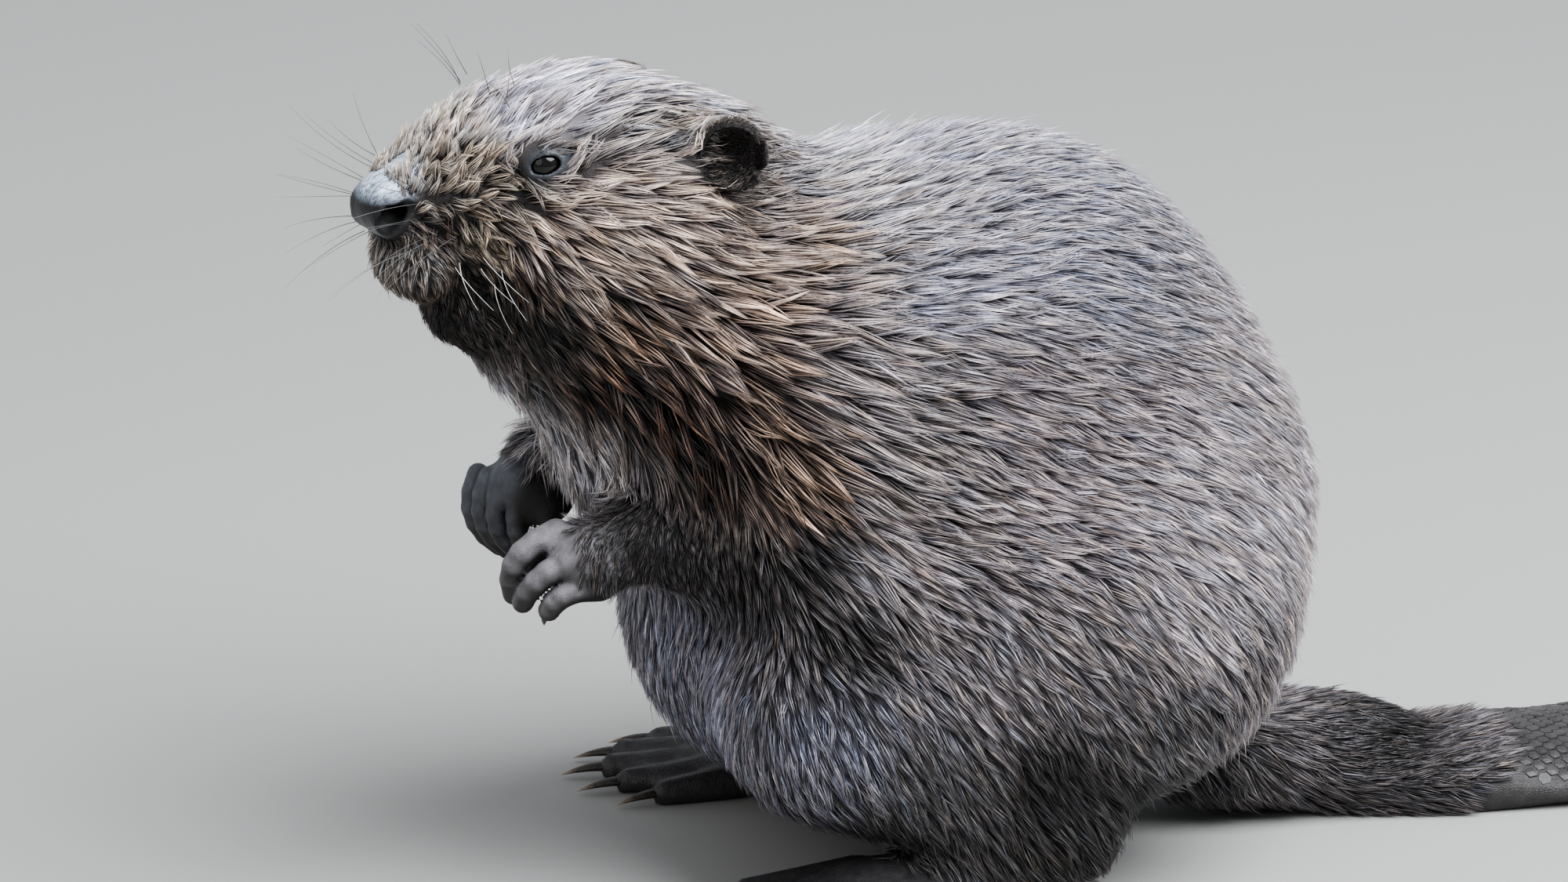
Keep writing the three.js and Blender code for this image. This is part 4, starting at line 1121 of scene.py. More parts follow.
# ---------------------------------------------------------------- the claws
# Horn claws: short curved ones on the fingers and thumbs, and long flat ones on the hind toes. Each
# grows out of its digit's end and is palest at the worn point.
FINGER_CLAW = dict(length=8.5, width=2.1, sink=3.4, droop=0.35, flat=0.9)
THUMB_CLAW = dict(length=5, width=1.8, sink=2.6, droop=0.4, flat=0.9)
TOE_CLAW = dict(length=19.5, width=3.4, sink=4.5, droop=0.18, flat=0.62)
CLAW_SETS = [("finger_claw", paws, [FINGER_CLAW] * 4 + [THUMB_CLAW]), ("toe_claw", feet, [TOE_CLAW] * 5)]
CLAW_RINGS, CLAW_AROUND = 12, 14
CLAW_FLOOR_GAP = 0.3  # mm that a toe's claw keeps over the floor
HORN_STOPS = [  # place along a claw, and colour
    (0, (0.018, 0.014, 0.012, 1)),
    (1, (0.36, 0.29, 0.22, 1)),
    (0.62, (0.055, 0.040, 0.030, 1)),
]


def claw_mesh(tip, way, bend, length, width, sink, droop, flat):
    """Points and faces of one claw, with its place from root to point."""
    aside = np.cross(way, bend)
    points, along = [], []
    for ring in range(CLAW_RINGS):
        t = ring / (CLAW_RINGS - 1)
        r = width * (1 - t**1.6) ** 0.8 + 0.25 * (1 - t)
        centre = tip + way * (length * t - sink) + bend * (droop * length * t * t)
        for n in range(CLAW_AROUND):
            turn = 2 * math.pi * n / CLAW_AROUND
            keel = flat * (1 if math.sin(turn) < 0 else 0.75)
            points.append(centre + r * (math.cos(turn) * aside * 0.9 + math.sin(turn) * bend * keel))
            along.append(t)
    faces = []
    for ring in range(CLAW_RINGS - 1):
        for n in range(CLAW_AROUND):
            a, b = ring * CLAW_AROUND + n, ring * CLAW_AROUND + (n + 1) % CLAW_AROUND
            faces += [(a, a + CLAW_AROUND, b), (b, a + CLAW_AROUND, b + CLAW_AROUND)]
    last = (CLAW_RINGS - 1) * CLAW_AROUND
    for n in range(1, CLAW_AROUND - 1):
        faces += [(0, n, n + 1), (last, last + n + 1, last + n)]
    return np.array(points), np.array(faces), along


def claw_material():
    """Brown horn with streaks along it, paler towards the point."""
    material, tree, shader = new_material("claw horn", 0.32)
    colour = ramp(tree, kept_on_mesh(tree, "along"), HORN_STOPS)
    colour = wandering_colour(tree, colour, 900, 0.6, 1.3)
    grain = noise(tree, own_place(tree), 1100)
    feed(shader, {"Base Color": colour, "Normal": raised(tree, grain, 0.0003)})
    return material


claw_finish = claw_material()
for side in SIDES:
    for name, digits, shapes in CLAW_SETS:
        for n, (place, shape) in enumerate(zip(digits[side][1], shapes)):
            tip = place["tip"] + place["way"] * place["radius"]
            points, faces, along = claw_mesh(tip, place["way"], place["bend"], **shape)
            if name == "toe_claw":
                points[:, 2] = np.maximum(points[:, 2], CLAW_FLOOR_GAP)
            claw = mesh_from(f"horn_{name}_{side}_{n + 1}", points, faces, 3)
            number_attribute(claw.data, "along", along)
            claw.data.materials.append(claw_finish)
            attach(claw, "root")
            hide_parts(f"{name}_{side}_{n + 1}")

# ---------------------------------------------------------------- the tail's scales
# The bare blade is covered in rows of small horny scales, each a low six-sided shield that laps a
# little over the one behind. They are set row by row over the blade's upper side.
SCALE_PITCH = (4.6, 5.6)  # mm along the tail and across it
SCALE_SIZE = (3.2, 3.0, 0.75)  # half length, half width, height
SCALE_AREA = (112, 60)  # mm; half of the length and of the width that scales are tried over
SCALED_OVAL = (107, 51.5)  # mm; half of the length and of the width that keeps its scales
SCALE_LEAST = (0.9, 0.88, 0.6)  # how far scales differ in length, width and height
SCALE_MOST = (1.08, 1.06, 1.4)
SCALE_SEED = 5
DROP_HEIGHT = 60  # mm over the floor that scales are dropped from
SHIELD_OUTLINE = [(1.0, 0.0), (0.55, 0.85), (-0.5, 0.95), (-0.95, 0.0), (-0.5, -0.95), (0.55, -0.85)]


def geometry_tree(name, **inputs):
    """A tree of geometry nodes with named inputs, and the sockets that give them."""
    tree = bpy.data.node_groups.new(name, "GeometryNodeTree")
    for title, kind in {"Geometry": "Geometry", **inputs}.items():
        tree.interface.new_socket(title, in_out="INPUT", socket_type="NodeSocket" + kind)
    tree.interface.new_socket("Geometry", in_out="OUTPUT", socket_type="NodeSocketGeometry")
    return tree, tree.nodes.new("NodeGroupInput").outputs


def give_out(tree, shapes, finish):
    """End a tree: its shapes as one plain mesh of one material."""
    real = from_node(tree, "GeometryNodeRealizeInstances", "Geometry", {"Geometry": shapes})
    coated = {"Geometry": real, "Material": finish}
    coated = from_node(tree, "GeometryNodeSetMaterial", "Geometry", coated)
    feed(tree.nodes.new("NodeGroupOutput"), {"Geometry": coated})


def scale_tree(finish):
    """Nodes: a grid in staggered rows, dropped on to the hide, with a shield at each point."""
    tree, given = geometry_tree(
        "tail scales", Length="Float", Width="Float", Rows="Int", Columns="Int", Centre="Vector",
        Turn="Float", Blade="Vector", Shield="Object", Hide="Object",
    )

    def new(kind, output, inputs=(), **settings):
        return from_node(tree, kind, output, inputs, **settings)

    def maths(operation, *values):
        return new("ShaderNodeMath", "Value", enumerate(values), operation=operation)

    def vector_maths(operation, output, *values):
        return new("ShaderNodeVectorMath", output, enumerate(values), operation=operation)

    # every second row is moved aside by half a pitch
    grid = new("GeometryNodeMeshGrid", "Mesh", {
        "Size X": given["Length"],
        "Size Y": given["Width"],
        "Vertices X": given["Rows"],
        "Vertices Y": given["Columns"],
    })
    index = new("GeometryNodeInputIndex", "Index")
    odd = maths("MODULO", maths("FLOOR", maths("DIVIDE", index, given["Columns"])), 2.0)
    aside = new("ShaderNodeCombineXYZ", "Vector", {"Y": maths("MULTIPLY", odd, SCALE_PITCH[1] / 2 * MM)})
    rows = new("GeometryNodeSetPosition", "Geometry", {"Geometry": grid, "Offset": aside})
    # turned with the tail and taken over its middle
    turn = new("ShaderNodeCombineXYZ", "Vector", {"Z": given["Turn"]})
    over = {"Geometry": rows, "Translation": given["Centre"], "Rotation": turn}
    over = new("GeometryNodeTransform", "Geometry", over)
    # dropped on to the hide; points outside the blade's oval go
    hide = new("GeometryNodeObjectInfo", "Geometry", {"Object": given["Hide"]})
    down = {"Target Geometry": hide, "Ray Direction": (0, 0, -1), "Ray Length": 1.0}
    hit = new("GeometryNodeRaycast", "Is Hit", down).node.outputs
    spot = new("GeometryNodeInputPosition", "Position")
    from_middle = vector_maths("SUBTRACT", "Vector", spot, given["Centre"])
    along = {"Vector": from_middle, "Angle": maths("MULTIPLY", given["Turn"], -1.0)}
    along = new("ShaderNodeVectorRotate", "Vector", along, rotation_type="Z_AXIS")
    oval = vector_maths("LENGTH", "Value", vector_maths("DIVIDE", "Vector", along, given["Blade"]))
    gone = maths("MAXIMUM", maths("GREATER_THAN", oval, 1.0), maths("LESS_THAN", hit["Is Hit"], 0.5))
    kept = new("GeometryNodeDeleteGeometry", "Geometry", {"Geometry": over, "Selection": gone})
    leaning = {"Geometry": kept, "Name": "up", "Value": hit["Hit Normal"]}
    leaning = new("GeometryNodeStoreNamedAttribute", "Geometry", leaning, data_type="FLOAT_VECTOR")
    landed = {"Geometry": leaning, "Position": hit["Hit Position"]}
    landed = new("GeometryNodeSetPosition", "Geometry", landed)
    # a shield on each point, leaning with the hide
    up = new("GeometryNodeInputNamedAttribute", "Attribute", {"Name": "up"}, data_type="FLOAT_VECTOR")
    lean = {"Rotation": new("FunctionNodeEulerToRotation", "Rotation", {"Euler": turn}), "Vector": up}
    lean = new("FunctionNodeAlignRotationToVector", "Rotation", lean, axis="Z")
    sizes = {"Min": SCALE_LEAST, "Max": SCALE_MOST, "Seed": SCALE_SEED}
    sizes = new("FunctionNodeRandomValue", "Value", sizes, data_type="FLOAT_VECTOR")
    shield = new("GeometryNodeObjectInfo", "Geometry", {"Object": given["Shield"]})
    scales = {"Points": landed, "Instance": shield, "Rotation": lean, "Scale": sizes}
    give_out(tree, new("GeometryNodeInstanceOnPoints", "Instances", scales), finish)
    return tree


def shield_mesh():
    """One scale: six-sided, domed, its back edge raised to lap over the next."""
    length, width, height = SCALE_SIZE
    outline = [(x * length, y * width) for x, y in SHIELD_OUTLINE]
    points = [(x, y, -0.9) for x, y in outline]
    points += [(x * 0.86, y * 0.86, height * (0.45 + 0.35 * (x > 0))) for x, y in outline]
    points.append((0.3, 0, height * 1.05))
    faces = []
    for n in range(6):
        m = (n + 1) % 6
        faces += [(n, m, 6 + n), (m, 6 + m, 6 + n), (6 + n, 6 + m, 12)]
        if 0 < n < 5:
            faces.append((0, m, n))
    return np.array(points, float), np.array(faces)


def scale_material():
    """Dark grey horn with a dull wet sheen."""
    material, tree, shader = new_material("tail horn", 0.42)
    colour = wandering_colour(tree, (0.040, 0.036, 0.036), 120, 0.6, 1.5)
    grain = noise(tree, own_place(tree), 800)
    feed(shader, {"Base Color": colour, "Normal": raised(tree, grain, 0.0004, 0.4)})
    return material


def made_by_nodes(name, start_mesh, tree, values):
    """The mesh that a tree of nodes makes, as a plain object."""
    maker = bpy.data.objects.new("maker", start_mesh)
    bpy.context.collection.objects.link(maker)
    modifier = maker.modifiers.new("nodes", "NODES")
    modifier.node_group = tree
    for socket in tree.interface.items_tree:
        if socket.in_out == "INPUT" and socket.name in values:
            modifier[socket.identifier] = values[socket.name]
    graph = bpy.context.evaluated_depsgraph_get()
    graph.update()
    mesh = bpy.data.meshes.new_from_object(maker.evaluated_get(graph), depsgraph=graph)
    maker.modifiers.remove(modifier)
    bpy.data.objects.remove(maker)
    mesh.name = name
    piece = bpy.data.objects.new(name, mesh)
    bpy.context.collection.objects.link(piece)
    return piece


shield_points, shield_faces = shield_mesh()
shield = mesh_from("shield", shield_points - SHIFT, shield_faces, 3)
shield.data.shade_flat()
rows, columns = (round(2 * half / pitch) + 1 for half, pitch in zip(SCALE_AREA, SCALE_PITCH))
tail_scales = made_by_nodes("tail_scales", bpy.data.meshes.new("empty"), scale_tree(scale_material()), {
    "Length": (rows - 1) * SCALE_PITCH[0] * MM,
    "Width": (columns - 1) * SCALE_PITCH[1] * MM,
    "Rows": rows,
    "Columns": columns,
    "Centre": world_point((BLADE_CENTRE[0] + 2, BLADE_CENTRE[1], DROP_HEIGHT))[:],
    "Turn": math.radians(TAIL_SWEEP),
    "Blade": (SCALED_OVAL[0] * MM, SCALED_OVAL[1] * MM, 1.0),
    "Shield": shield,
    "Hide": skin,
})
bpy.data.objects.remove(shield)
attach(tail_scales, "root")

# ---------------------------------------------------------------- the coat
# Wet guard hair over dense underfur. Each tuft is a thin closed blade that is rooted in the hide
# and lies along the body. Dark under-tufts cover the hide; over them, bright guard tufts draw
# together into pointed locks.
# The dark of the roots is partly painted shade deep in the coat, and the brightness of the
# lock points partly painted highlight on the wet tips.
LONG_HAIRED = ("face", "crown", "cheek", "neck", "throat", "arm")  # OVER grows here, CLOSE elsewhere

# A layer: tufts in each lock, and its size beside the guides' sizes; how thick a tuft is from its
# root on; how strongly it is drawn to its lock's line; how many tufts stand out of their lock; and
# its colours from root to point, each a mix of the tones under the coat, of a tuft's outer half
# and of a lock's point, and of the last two as they are mixed where the tuft stands in its lock.
# The dark roots are partly painted shade in the coat; the pale points, brightened past the lock's
# point tone on OVER and CLOSE, are partly painted highlight on the wet tips.
UNDER = dict(
    per_lock=7.5, width=1.7, length=0.78, depth=0.52, taper=(1.0,), pull=0.55, strays=0,
    colours=[(1, 0, 0, 0), (0, 0.75, 0.1, 0)],
)
OVER = dict(
    per_lock=6.0, width=0.82, length=1.0, depth=1.0, taper=(0.85, 1.0, 0.66), pull=1.0, strays=0.03,
    colours=[(1, 0, 0, 0), (0, 0.6, 0, 0.2), (0, 0, 0, 0.95), (0, 0, 0, 1.15)],
)
CLOSE = dict(
    per_lock=4.5, width=0.86, length=1.0, depth=1.0, taper=(0.9, 0.95), pull=1.0, strays=0.03,
    colours=[(1, 0, 0, 0), (0, 0.45, 0, 0.45), (0, 0, 0, 1.1)],
)

SUNK = 0.6  # mm that a root is sunk in the hide
CLEARANCE = 0.8  # mm that no tuft's line goes below over the floor
STREW_CELL = 6  # mm of hide over which roots are strewn evenly
TURN_SHARE = 0.7  # of a guide's spread that a whole lock turns by
AWAY = 0.06  # share of its own place in the lock that a tuft keeps along it
STRAY_PULL = 0.3
STRAY_RISE = (1.2, 2.3)
TUFT_LENGTHS = (0.8, 1.12)
TUFT_WIDTHS = (0.8, 1.2)
TUFT_TURNS = 0.28
TUFT_LIGHTS = 0.16
TUFT_WARMTHS = 0.02
LOCK_GAP = 6.6  # mm between locks, where one grows on each 100 mm2
LOCK_TRIES = 2.6  # places tried for each lock
LOCK_STEPS = 6
LOCK_LENGTHS = (0.82, 1.16)
LOCK_RISES = (0.62, 1.12)
LOCK_RISE_MOST = 1.12  # over the guide's depth, in a lock's middle
LOCK_BENDS = (4, 9)  # degrees; mean and spread
LOCK_LIGHTS = 0.24
LOCK_WARMTHS = 0.035
SPARSER_BELOW = 0.6  # share of the locks that grow on the underside
PIECE_FACES = 185000  # triangles, over which a piece of the coat is parted in two


def clear_zones():
    """Where no hair may cross: over the nose and nostrils, before the eyes and in the ears."""
    zones = [head_egg((138, 0, -18), (13.5, 24, 16), 1)]
    zones += [head_egg((129, s * 18, -19), (7, 7, 7), 1) for s in (-1, 1)]
    for side in SIDES:
        eye_way, ear_way = eye_turn(side), ear_axes(side)
        middle = on_head(side, EYE_PLACE) + 6 * eye_way[:, 2]
        zones.append(turned_egg(middle, (8.2, 6.2, 10), 1, eye_way))
        middle = on_head(side, EAR_PLACE) + 11 * ear_way[:, 0]
        zones.append(turned_egg(middle, (13, 11.4, 12.4), 1, ear_way))
    return zones


CLEAR = clear_zones()


def strew(rng, density):
    """Root places, evenly strewn over the hide by a density for each of its triangles."""
    a, b, c = (skin_points[skin_faces[:, n]] for n in range(3))
    weight = np.linalg.norm(np.cross(b - a, c - a), axis=1) / 2 * density
    order = np.lexsort(np.floor(skin_points[skin_faces].mean(1) / STREW_CELL).astype(int).T)
    total = weight.sum()
    count = int(total)
    at = (np.arange(count) + rng.random(count)) / count * total
    pick = order[np.searchsorted(np.cumsum(weight[order]), at).clip(0, len(order) - 1)]
    u, v = rng.random(count), rng.random(count)
    over = u + v > 1
    u[over], v[over] = 1 - u[over], 1 - v[over]
    return a[pick] + u[:, None] * (b - a)[pick] + v[:, None] * (c - a)[pick]


def tree_of(points):
    tree = KDTree(len(points))
    for n, point in enumerate(points):
        tree.insert(point, n)
    tree.balance()
    return tree


def spaced(points, gap, rng):
    """Points kept so that none is nearer to another than its own gap."""
    tree = tree_of(points)
    alive = np.ones(len(points), bool)
    for n in rng.permutation(len(points)):
        if alive[n]:
            for _, m, _ in tree.find_range(points[n], gap[n]):
                alive[m] = m == n
    return points[alive]


def lie_of(roots, turn, bend, length, rise, steps):
    """The line that each tuft follows along the body, from its root to its point."""
    way = comb(roots) @ guide_lies
    _, normal = sample_grid(roots)
    way = unit(way - normal * (way * normal).sum(1, keepdims=True))
    lines = np.empty((len(roots), steps + 1, 3))
    lines[:, 0] = roots - SUNK * normal
    here = roots
    for step in range(1, steps + 1):
        t = step / steps
        flat = unit(way - normal * (way * normal).sum(1, keepdims=True))
        aside = np.cross(normal, flat)
        angle = (turn + bend * t)[:, None]
        flat = flat * np.cos(angle) + aside * np.sin(angle)
        here = here + flat * (length / steps)[:, None]
        f, normal = sample_grid(here)
        here = here + normal * (rise * (1.3 * t - 0.3 * t * t) - f).clip(-8, 8)[:, None]
        lines[:, step] = here
    return lines


def draw_together(lines, leader, away, pull):
    """Bend each tuft's line towards its lock's leading line, most of all at its point."""
    steps, leads = lines.shape[1] - 1, leader.shape[1] - 1
    for step in range(1, steps + 1):
        t = step / steps
        low = math.floor(t * leads - 1e-9)
        part = t * leads - low
        aim = leader[:, low] * (1 - part) + leader[:, min(low + 1, leads)] * part + away * AWAY
        share = (pull * t**1.05)[:, None]
        lines[:, step] = lines[:, step] * (1 - share) + aim * share
    lines[..., 2] = np.maximum(lines[..., 2], CLEARANCE)


def crosses_clear(lines):
    """Tufts that would hang over an eye, an ear's bowl or the nose."""
    hit = np.zeros(len(lines), bool)
    for zone in CLEAR:
        for step in range(1, lines.shape[1]):
            hit |= field_at([zone], lines[:, step]) < 0
    return hit


def grow(layer, density, locks, rng):
    """One layer of tufts: their roots, lines, widths and colours along them."""
    roots = strew(rng, density * layer["per_lock"])
    share = comb(roots)
    if layer is not UNDER:
        long_haired = np.isin(guide_pieces[share.argmax(1)], LONG_HAIRED)
        here = long_haired == (layer is OVER)
        roots, share = roots[here], share[here]
    count = len(roots)
    length, width, depth, draw, spread, _ = (share @ guide_sizes).T
    mine = np.array([locks["tree"].find(p)[1] for p in roots])
    away = roots - locks["place"][mine]
    off = np.linalg.norm(away, axis=1) / locks["gap"][mine]
    # its length, lift and turn
    length = length * layer["length"] * locks["length"][mine] * rng.uniform(*TUFT_LENGTHS, count)
    trimmed = [(field_at(blocks, roots) < 0.4, tone) for blocks, tone in SHORT_HAIRED]
    short = np.any([here for here, _ in trimmed], axis=0)
    length = np.where(short, length.clip(0, SHORT_HAIR), length)
    rise = depth * layer["depth"] * locks["rise"][mine] * (LOCK_RISE_MOST - 0.5 * off.clip(0, 1))
    stray = rng.random(count) < layer["strays"]
    rise = np.where(stray, rise * rng.uniform(*STRAY_RISE, count), rise)
    turn = np.radians(spread) * (locks["turn"][mine] * TURN_SHARE + rng.normal(0, TUFT_TURNS, count))
    lines = lie_of(roots, turn, locks["bend"][mine], length, rise, len(layer["taper"]))
    pull = np.where(stray, STRAY_PULL, 1.0) * ~short * draw * layer["pull"]
    draw_together(lines, locks["lines"][mine], away, pull)
    # its colours, palest in a lock's middle: partly the tips' own colour and partly painted highlight on
    # the wet locks, with painted shade at the roots and between the locks
    tones = np.einsum("ng,gtc->ntc", share, guide_tones)
    for here, tone in trimmed:
        tones[here] = TONES[tone]
    light = locks["bright"][mine] * rng.lognormal(0, TUFT_LIGHTS, count)
    warm = locks["warm"][mine] + rng.normal(0, TUFT_WARMTHS, count)
    tones = tones * light[:, None, None]
    tones = tones * np.stack([1 + warm, np.ones(count), 1 - warm * 1.3], 1)[:, None, :]
    middle = (1.15 - 1.25 * off).clip(0.15, 1)[:, None]
    ends = tones[:, 1] * (1 - middle) + tones[:, 2] * middle
    paints = (tones[:, 0], tones[:, 1], tones[:, 2], ends)
    colours = [sum(paint * part for paint, part in zip(paints, mix)) for mix in layer["colours"]]
    width = width * layer["width"] * rng.uniform(*TUFT_WIDTHS, count)
    keep = short | ~crosses_clear(lines)
    return [v[keep] for v in (roots, lines, width, np.stack(colours, 1))]


TUFT_SIDES = 3
TUFT_FLATNESS = 0.7
TAPERS = {len(layer["taper"]): layer["taper"] for layer in (UNDER, OVER, CLOSE)}
PATCH = 0.003  # a tuft's patch on the unwrap


def tuft_mesh(lines, width):
    """Points and pattern of closed, tapered, three-sided tufts, and the ring of each point."""
    steps = lines.shape[1] - 1
    _, normal = sample_grid(lines[:, 1])
    rings = []
    for step in range(steps):
        ahead = unit(lines[:, step + 1] - lines[:, max(step - 1, 0)])
        side = unit(np.cross(ahead, normal))
        up = np.cross(side, ahead)
        r = (width / 2 * TAPERS[steps][step])[:, None]
        for n in range(TUFT_SIDES):
            turn = 2 * math.pi * n / TUFT_SIDES + math.pi / 2
            out = math.cos(turn) * side + TUFT_FLATNESS * math.sin(turn) * up
            rings.append(lines[:, step] + r * out)
    rings.append(lines[:, steps])
    faces = [(0, 2, 1)]
    for step in range(steps - 1):
        for n in range(TUFT_SIDES):
            a, b = step * TUFT_SIDES + n, step * TUFT_SIDES + (n + 1) % TUFT_SIDES
            faces += [(a, b, a + TUFT_SIDES), (b, b + TUFT_SIDES, a + TUFT_SIDES)]
    last = (steps - 1) * TUFT_SIDES
    faces += [(last + n, last + (n + 1) % TUFT_SIDES, steps * TUFT_SIDES) for n in range(TUFT_SIDES)]
    ring_of = np.repeat(np.arange(steps), TUFT_SIDES).tolist() + [steps]
    return np.stack(rings, 1), np.array(faces), ring_of


def tuft_patch(ring_of):
    """Places of a tuft's points on its patch of the unwrap."""
    steps = ring_of[-1]
    across = [(n % TUFT_SIDES) / (TUFT_SIDES - 1) - 0.5 for n in range(len(ring_of))]
    places = [(place, ring / steps - 0.5) for place, ring in zip(across, ring_of)]
    places[-1] = (0, 0.5)
    return np.array(places) * PATCH


def unwrap(roots):
    """The hide round some roots laid flat: polar angle and bearing about their own middle."""
    facing = unit(sample_grid(roots)[1].mean(0))
    middle = roots.mean(0) - facing * 60
    bearing = unit(roots - middle)
    across = unit(np.cross(facing, (0.1, 0.2, 1.0)))
    polar = np.arccos((bearing @ facing).clip(-1, 1))
    around = np.arctan2(bearing @ np.cross(across, facing), bearing @ across)
    return 0.5 + 0.49 * (polar / polar.max())[:, None] * np.column_stack([np.cos(around), np.sin(around)])


def hair_material():
    """Wet hair: each tuft its own tone, with a soft sheen."""
    material, tree, shader = new_material("wet hair", 0.42, 0.6)
    tone = kept_on_mesh(tree, "hair", "Color")
    feed(shader, {"Base Color": wandering_colour(tree, tone, 600, 0.78, 1.22)})
    return material


def coat_piece(name, layers):
    """One piece of the coat, from the tufts of every layer that are rooted in its region."""
    points, faces, colours, spots = [], [], [], []
    point_count, root_count = 0, 0
    root_spots = unwrap(np.concatenate([roots for roots, *_ in layers]))
    for roots, lines, width, colour in layers:
        if not len(roots):
            continue
        tufts, pattern, ring_of = tuft_mesh(lines, width)
        count, per_tuft = tufts.shape[:2]
        first = point_count + np.arange(count) * per_tuft
        points.append(tufts.reshape(-1, 3))
        faces.append((first[:, None, None] + pattern[None]).reshape(-1, 3))
        colours.append(colour[:, ring_of].reshape(-1, 3))
        mine = root_spots[root_count : root_count + count]
        patches = mine[:, None] + tuft_patch(ring_of)[None]
        spots.append(patches[:, pattern.ravel()].reshape(-1, 2))
        point_count += count * per_tuft
        root_count += count
    piece = mesh_from(name, np.concatenate(points), np.concatenate(faces), 3)
    colour_attribute(piece.data, "hair", np.concatenate(colours))
    unwrapped = piece.data.uv_layers.new(name="OFBake")
    unwrapped.data.foreach_set("uv", np.concatenate(spots).astype(np.float32).ravel())
    piece.data.materials.append(hair_finish)
    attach(piece, "root")


rng = np.random.default_rng(14)
hair_finish = hair_material()
corners = skin_points[skin_faces]
face_middles = corners.mean(1)
face_up = unit(np.cross(corners[:, 1] - corners[:, 0], corners[:, 2] - corners[:, 0]))[:, 2]
lock_density = comb(face_middles) @ guide_sizes[:, 5] / 100
lock_density[bareness(face_middles)] = 0
lock_density[face_up < -0.6] *= SPARSER_BELOW
lock_places = strew(rng, lock_density * LOCK_TRIES)
lock_gap = LOCK_GAP / np.sqrt(comb(lock_places) @ guide_sizes[:, 5])
lock_places = spaced(lock_places, lock_gap, rng)
lock_sizes = comb(lock_places) @ guide_sizes
lock_count = len(lock_places)
locks = dict(
    place=lock_places,
    tree=tree_of(lock_places),
    gap=LOCK_GAP / np.sqrt(lock_sizes[:, 5]),
    length=rng.uniform(*LOCK_LENGTHS, lock_count),
    rise=rng.uniform(*LOCK_RISES, lock_count),
    turn=rng.normal(0, 1, lock_count).clip(-2.2, 2.2),
    bend=np.radians(rng.normal(*LOCK_BENDS, lock_count)),
    bright=rng.lognormal(0, LOCK_LIGHTS, lock_count),
    warm=rng.normal(0, LOCK_WARMTHS, lock_count),
)
locks["lines"] = lie_of(
    lock_places,
    np.radians(lock_sizes[:, 4]) * locks["turn"] * TURN_SHARE,
    locks["bend"],
    lock_sizes[:, 0] * locks["length"],
    lock_sizes[:, 2] * locks["rise"] * LOCK_RISE_MOST,
    LOCK_STEPS,
)
layers = [grow(layer, lock_density, locks, rng) for layer in (UNDER, OVER, CLOSE)]
layer_regions = [guide_pieces[comb(roots).argmax(1)] for roots, *_ in layers]
for region in sorted(set(guide_pieces)):
    parts = {"": [chosen == region for chosen in layer_regions]}
    faces = sum(chosen.sum() * (6 * layer[1].shape[1] - 8) for chosen, layer in zip(parts[""], layers))
    if faces > PIECE_FACES:
        middle = np.median(np.concatenate([layer[0][m] for layer, m in zip(layers, parts[""])])[:, 1])
        left = [layer[0][:, 1] < middle for layer in layers]
        parts = {
            "_left": [chosen & here for chosen, here in zip(parts[""], left)],
            "_right": [chosen & ~here for chosen, here in zip(parts[""], left)],
        }
    for ending, part in parts.items():
        tufts = [[v[chosen] for v in layer] for chosen, layer in zip(part, layers)]
        coat_piece(f"coat_{region}{ending}", tufts)

# ---------------------------------------------------------------- the whiskers
# Stiff springy bristles: a fan on each side of the muzzle, a few over each eye, and pale ones that
# hang at the corners of the mouth. Each is swept along its own curve, thinning to a point.
WHISKER_POINTS = 12
WHISKER_SIDES = 5
WHISKER_THICK = (0.17, 0.05)  # mm; radius at the root and at the point
WHISKER_TINT = (1.0, 0.97, 0.93)
WHISKER_SCATTER = (4.5, 4.0)  # mm that roots are strewn by, forward and up
WHISKER_LENGTHS = (0.6, 1.1)
WHISKER_AHEAD = -273  # mm; as far forward as one may reach
WHISKER_HIGH = 353
WHISKERS = [  # forward, aside, up; way out; way it bends; length; how many; spread; root and point tones
    (122, 15, -22, (0.93, 0.34, 0.14), (-0.05, 0.10, -0.10), 50, 5, 0.16, 0.03, 0.20),
    (120, 16, -31, (0.92, 0.36, -0.16), (-0.05, 0.10, -0.25), 50, 4, 0.16, 0.03, 0.22),
    (121, 13, -12, (0.78, 0.36, 0.50), (-0.2, 0.1, 0.05), 42, 5, 0.16, 0.03, 0.14),
    (97, 26, -39, (0.05, 0.40, -0.80), (-0.45, 0.0, -0.2), 18, 6, 0.36, 0.75, 0.85),
    (80, 23, 16, (0.35, 0.30, 0.85), (0.25, 0.1, 0.05), 30, 2, 0.14, 0.03, 0.05),
    (84, 12, 22, (0.40, 0.15, 0.85), (0.10, 0.1, 0.0), 30, 2, 0.16, 0.03, 0.06),
]


def rooted(place, inward):
    """A whisker's root, moved along a line into the head until it is just under the hide."""
    start = place - 14 * inward
    return start + inward * (sample_grid(start[None])[0][0] + 1.5)


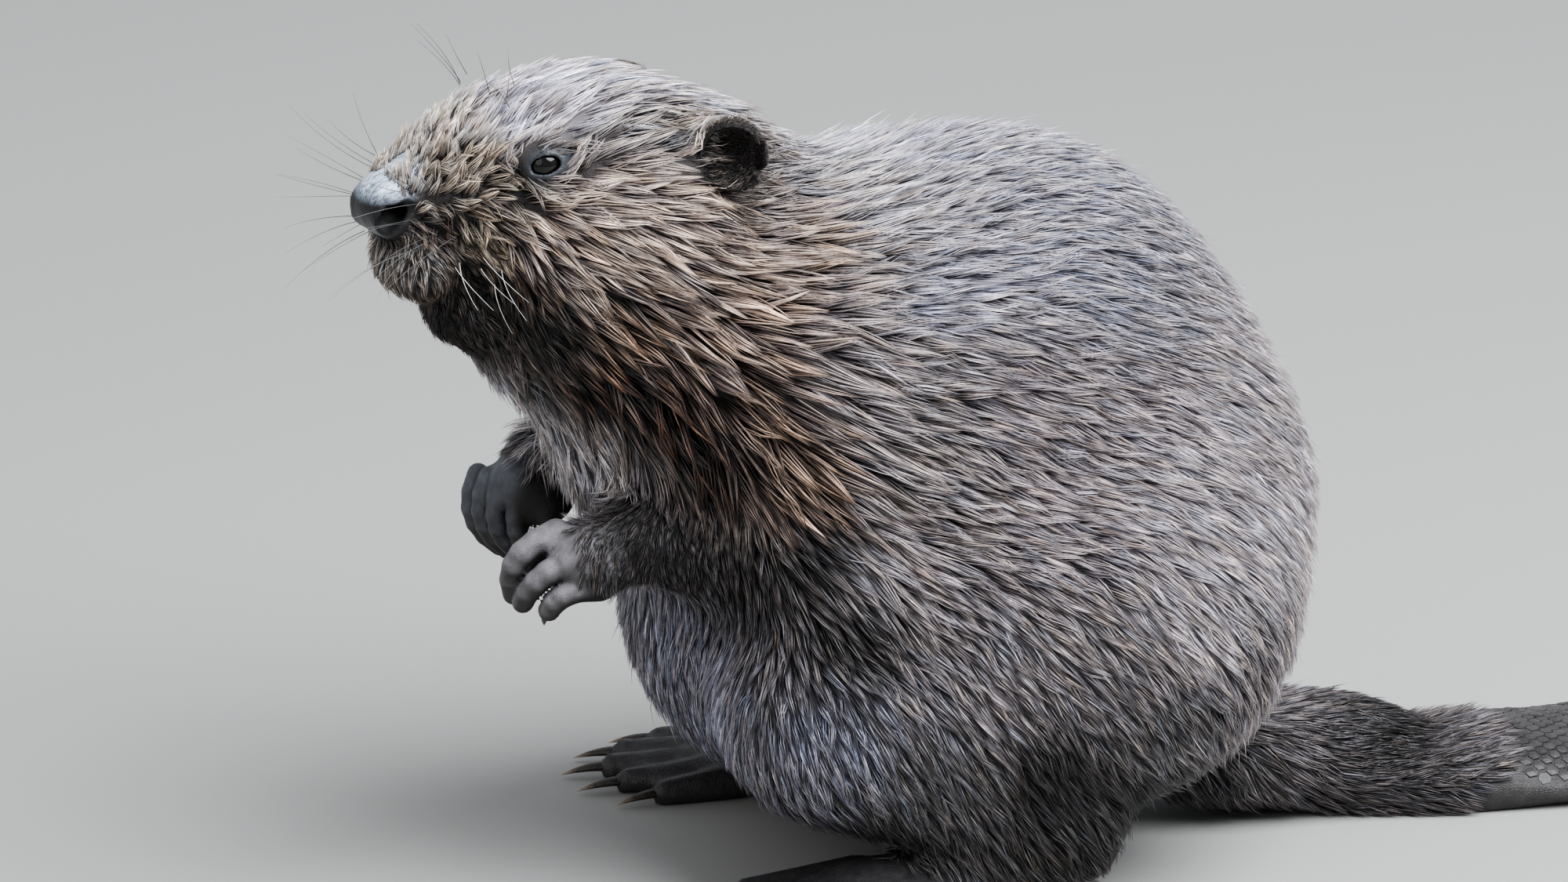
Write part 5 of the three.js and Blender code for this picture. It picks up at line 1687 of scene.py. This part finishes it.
def whisker_lines(rng):
    """Every whisker's centre line, and its tone along it."""
    t = np.linspace(0, 1, WHISKER_POINTS)
    lines, tones = [], []
    for forward, aside, up, out, bend, length, count, spread, dark, pale in WHISKERS:
        for s in (-1, 1):
            inward = HEAD_TURN @ np.array([0, -s, 0.0])
            for _ in range(count):
                ahead = forward + rng.normal(0, WHISKER_SCATTER[0])
                place = in_head(ahead, s * aside, up + rng.normal(0, WHISKER_SCATTER[1]))
                root = rooted(place, inward)
                way = unit(np.array(out) * (1, s, 1) + rng.normal(0, spread, 3))
                sag = np.array(bend) * (1, s, 1) + rng.normal(0, 0.08, 3)
                reach = length * rng.uniform(*WHISKER_LENGTHS)
                course = np.outer(t, way) + np.outer(t**2, sag)
                for _ in range(12):
                    line = root + reach * course @ HEAD_TURN.T
                    if line[:, 0].min() > WHISKER_AHEAD and line[:, 2].max() < WHISKER_HIGH:
                        break
                    reach *= 0.92
                lines.append(line)
                tones.append(dark + (pale - dark) * t)
    return np.array(lines), np.array(tones)


def whisker_tree(finish):
    """Nodes: sweep a small ring along each line, by the thickness kept on its points."""
    tree, given = geometry_tree("whiskers", Thickness="Float", Sides="Int")
    curves = from_node(tree, "GeometryNodeMeshToCurve", "Curve", {"Mesh": given["Geometry"]})
    ring = {"Resolution": given["Sides"], "Radius": given["Thickness"]}
    ring = from_node(tree, "GeometryNodeCurvePrimitiveCircle", "Curve", ring)
    thickness = from_node(tree, "GeometryNodeInputNamedAttribute", "Attribute", {"Name": "thickness"})
    sweep = {"Curve": curves, "Profile Curve": ring, "Scale": thickness, "Fill Caps": True}
    give_out(tree, from_node(tree, "GeometryNodeCurveToMesh", "Mesh", sweep), finish)
    return tree


def whisker_material():
    """Smooth horny bristle, its tone kept along it."""
    material, tree, shader = new_material("bristle", 0.3)
    tone = kept_on_mesh(tree, "shade", "Color")
    feed(shader, {"Base Color": wandering_colour(tree, tone, 500, 0.85, 1.15)})
    return material


whisker_places, whisker_tones = whisker_lines(np.random.default_rng(23))
whisker_count = len(whisker_places)
threads = bpy.data.meshes.new("whisker lines")
starts = np.arange(whisker_count)[:, None] * WHISKER_POINTS + np.arange(WHISKER_POINTS - 1)
threads.from_pydata(
    ((whisker_places.reshape(-1, 3) + SHIFT) * MM).tolist(),
    np.stack([starts, starts + 1], 2).reshape(-1, 2).tolist(),
    [],
)
thickness = np.tile(np.linspace(*WHISKER_THICK, WHISKER_POINTS), whisker_count)
number_attribute(threads, "thickness", thickness)
colour_attribute(threads, "shade", whisker_tones.ravel()[:, None] * WHISKER_TINT)
sweeping = {"Thickness": MM, "Sides": WHISKER_SIDES}
whiskers = made_by_nodes("whiskers", threads, whisker_tree(whisker_material()), sweeping)
whiskers.data.shade_smooth()
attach(whiskers, "root")
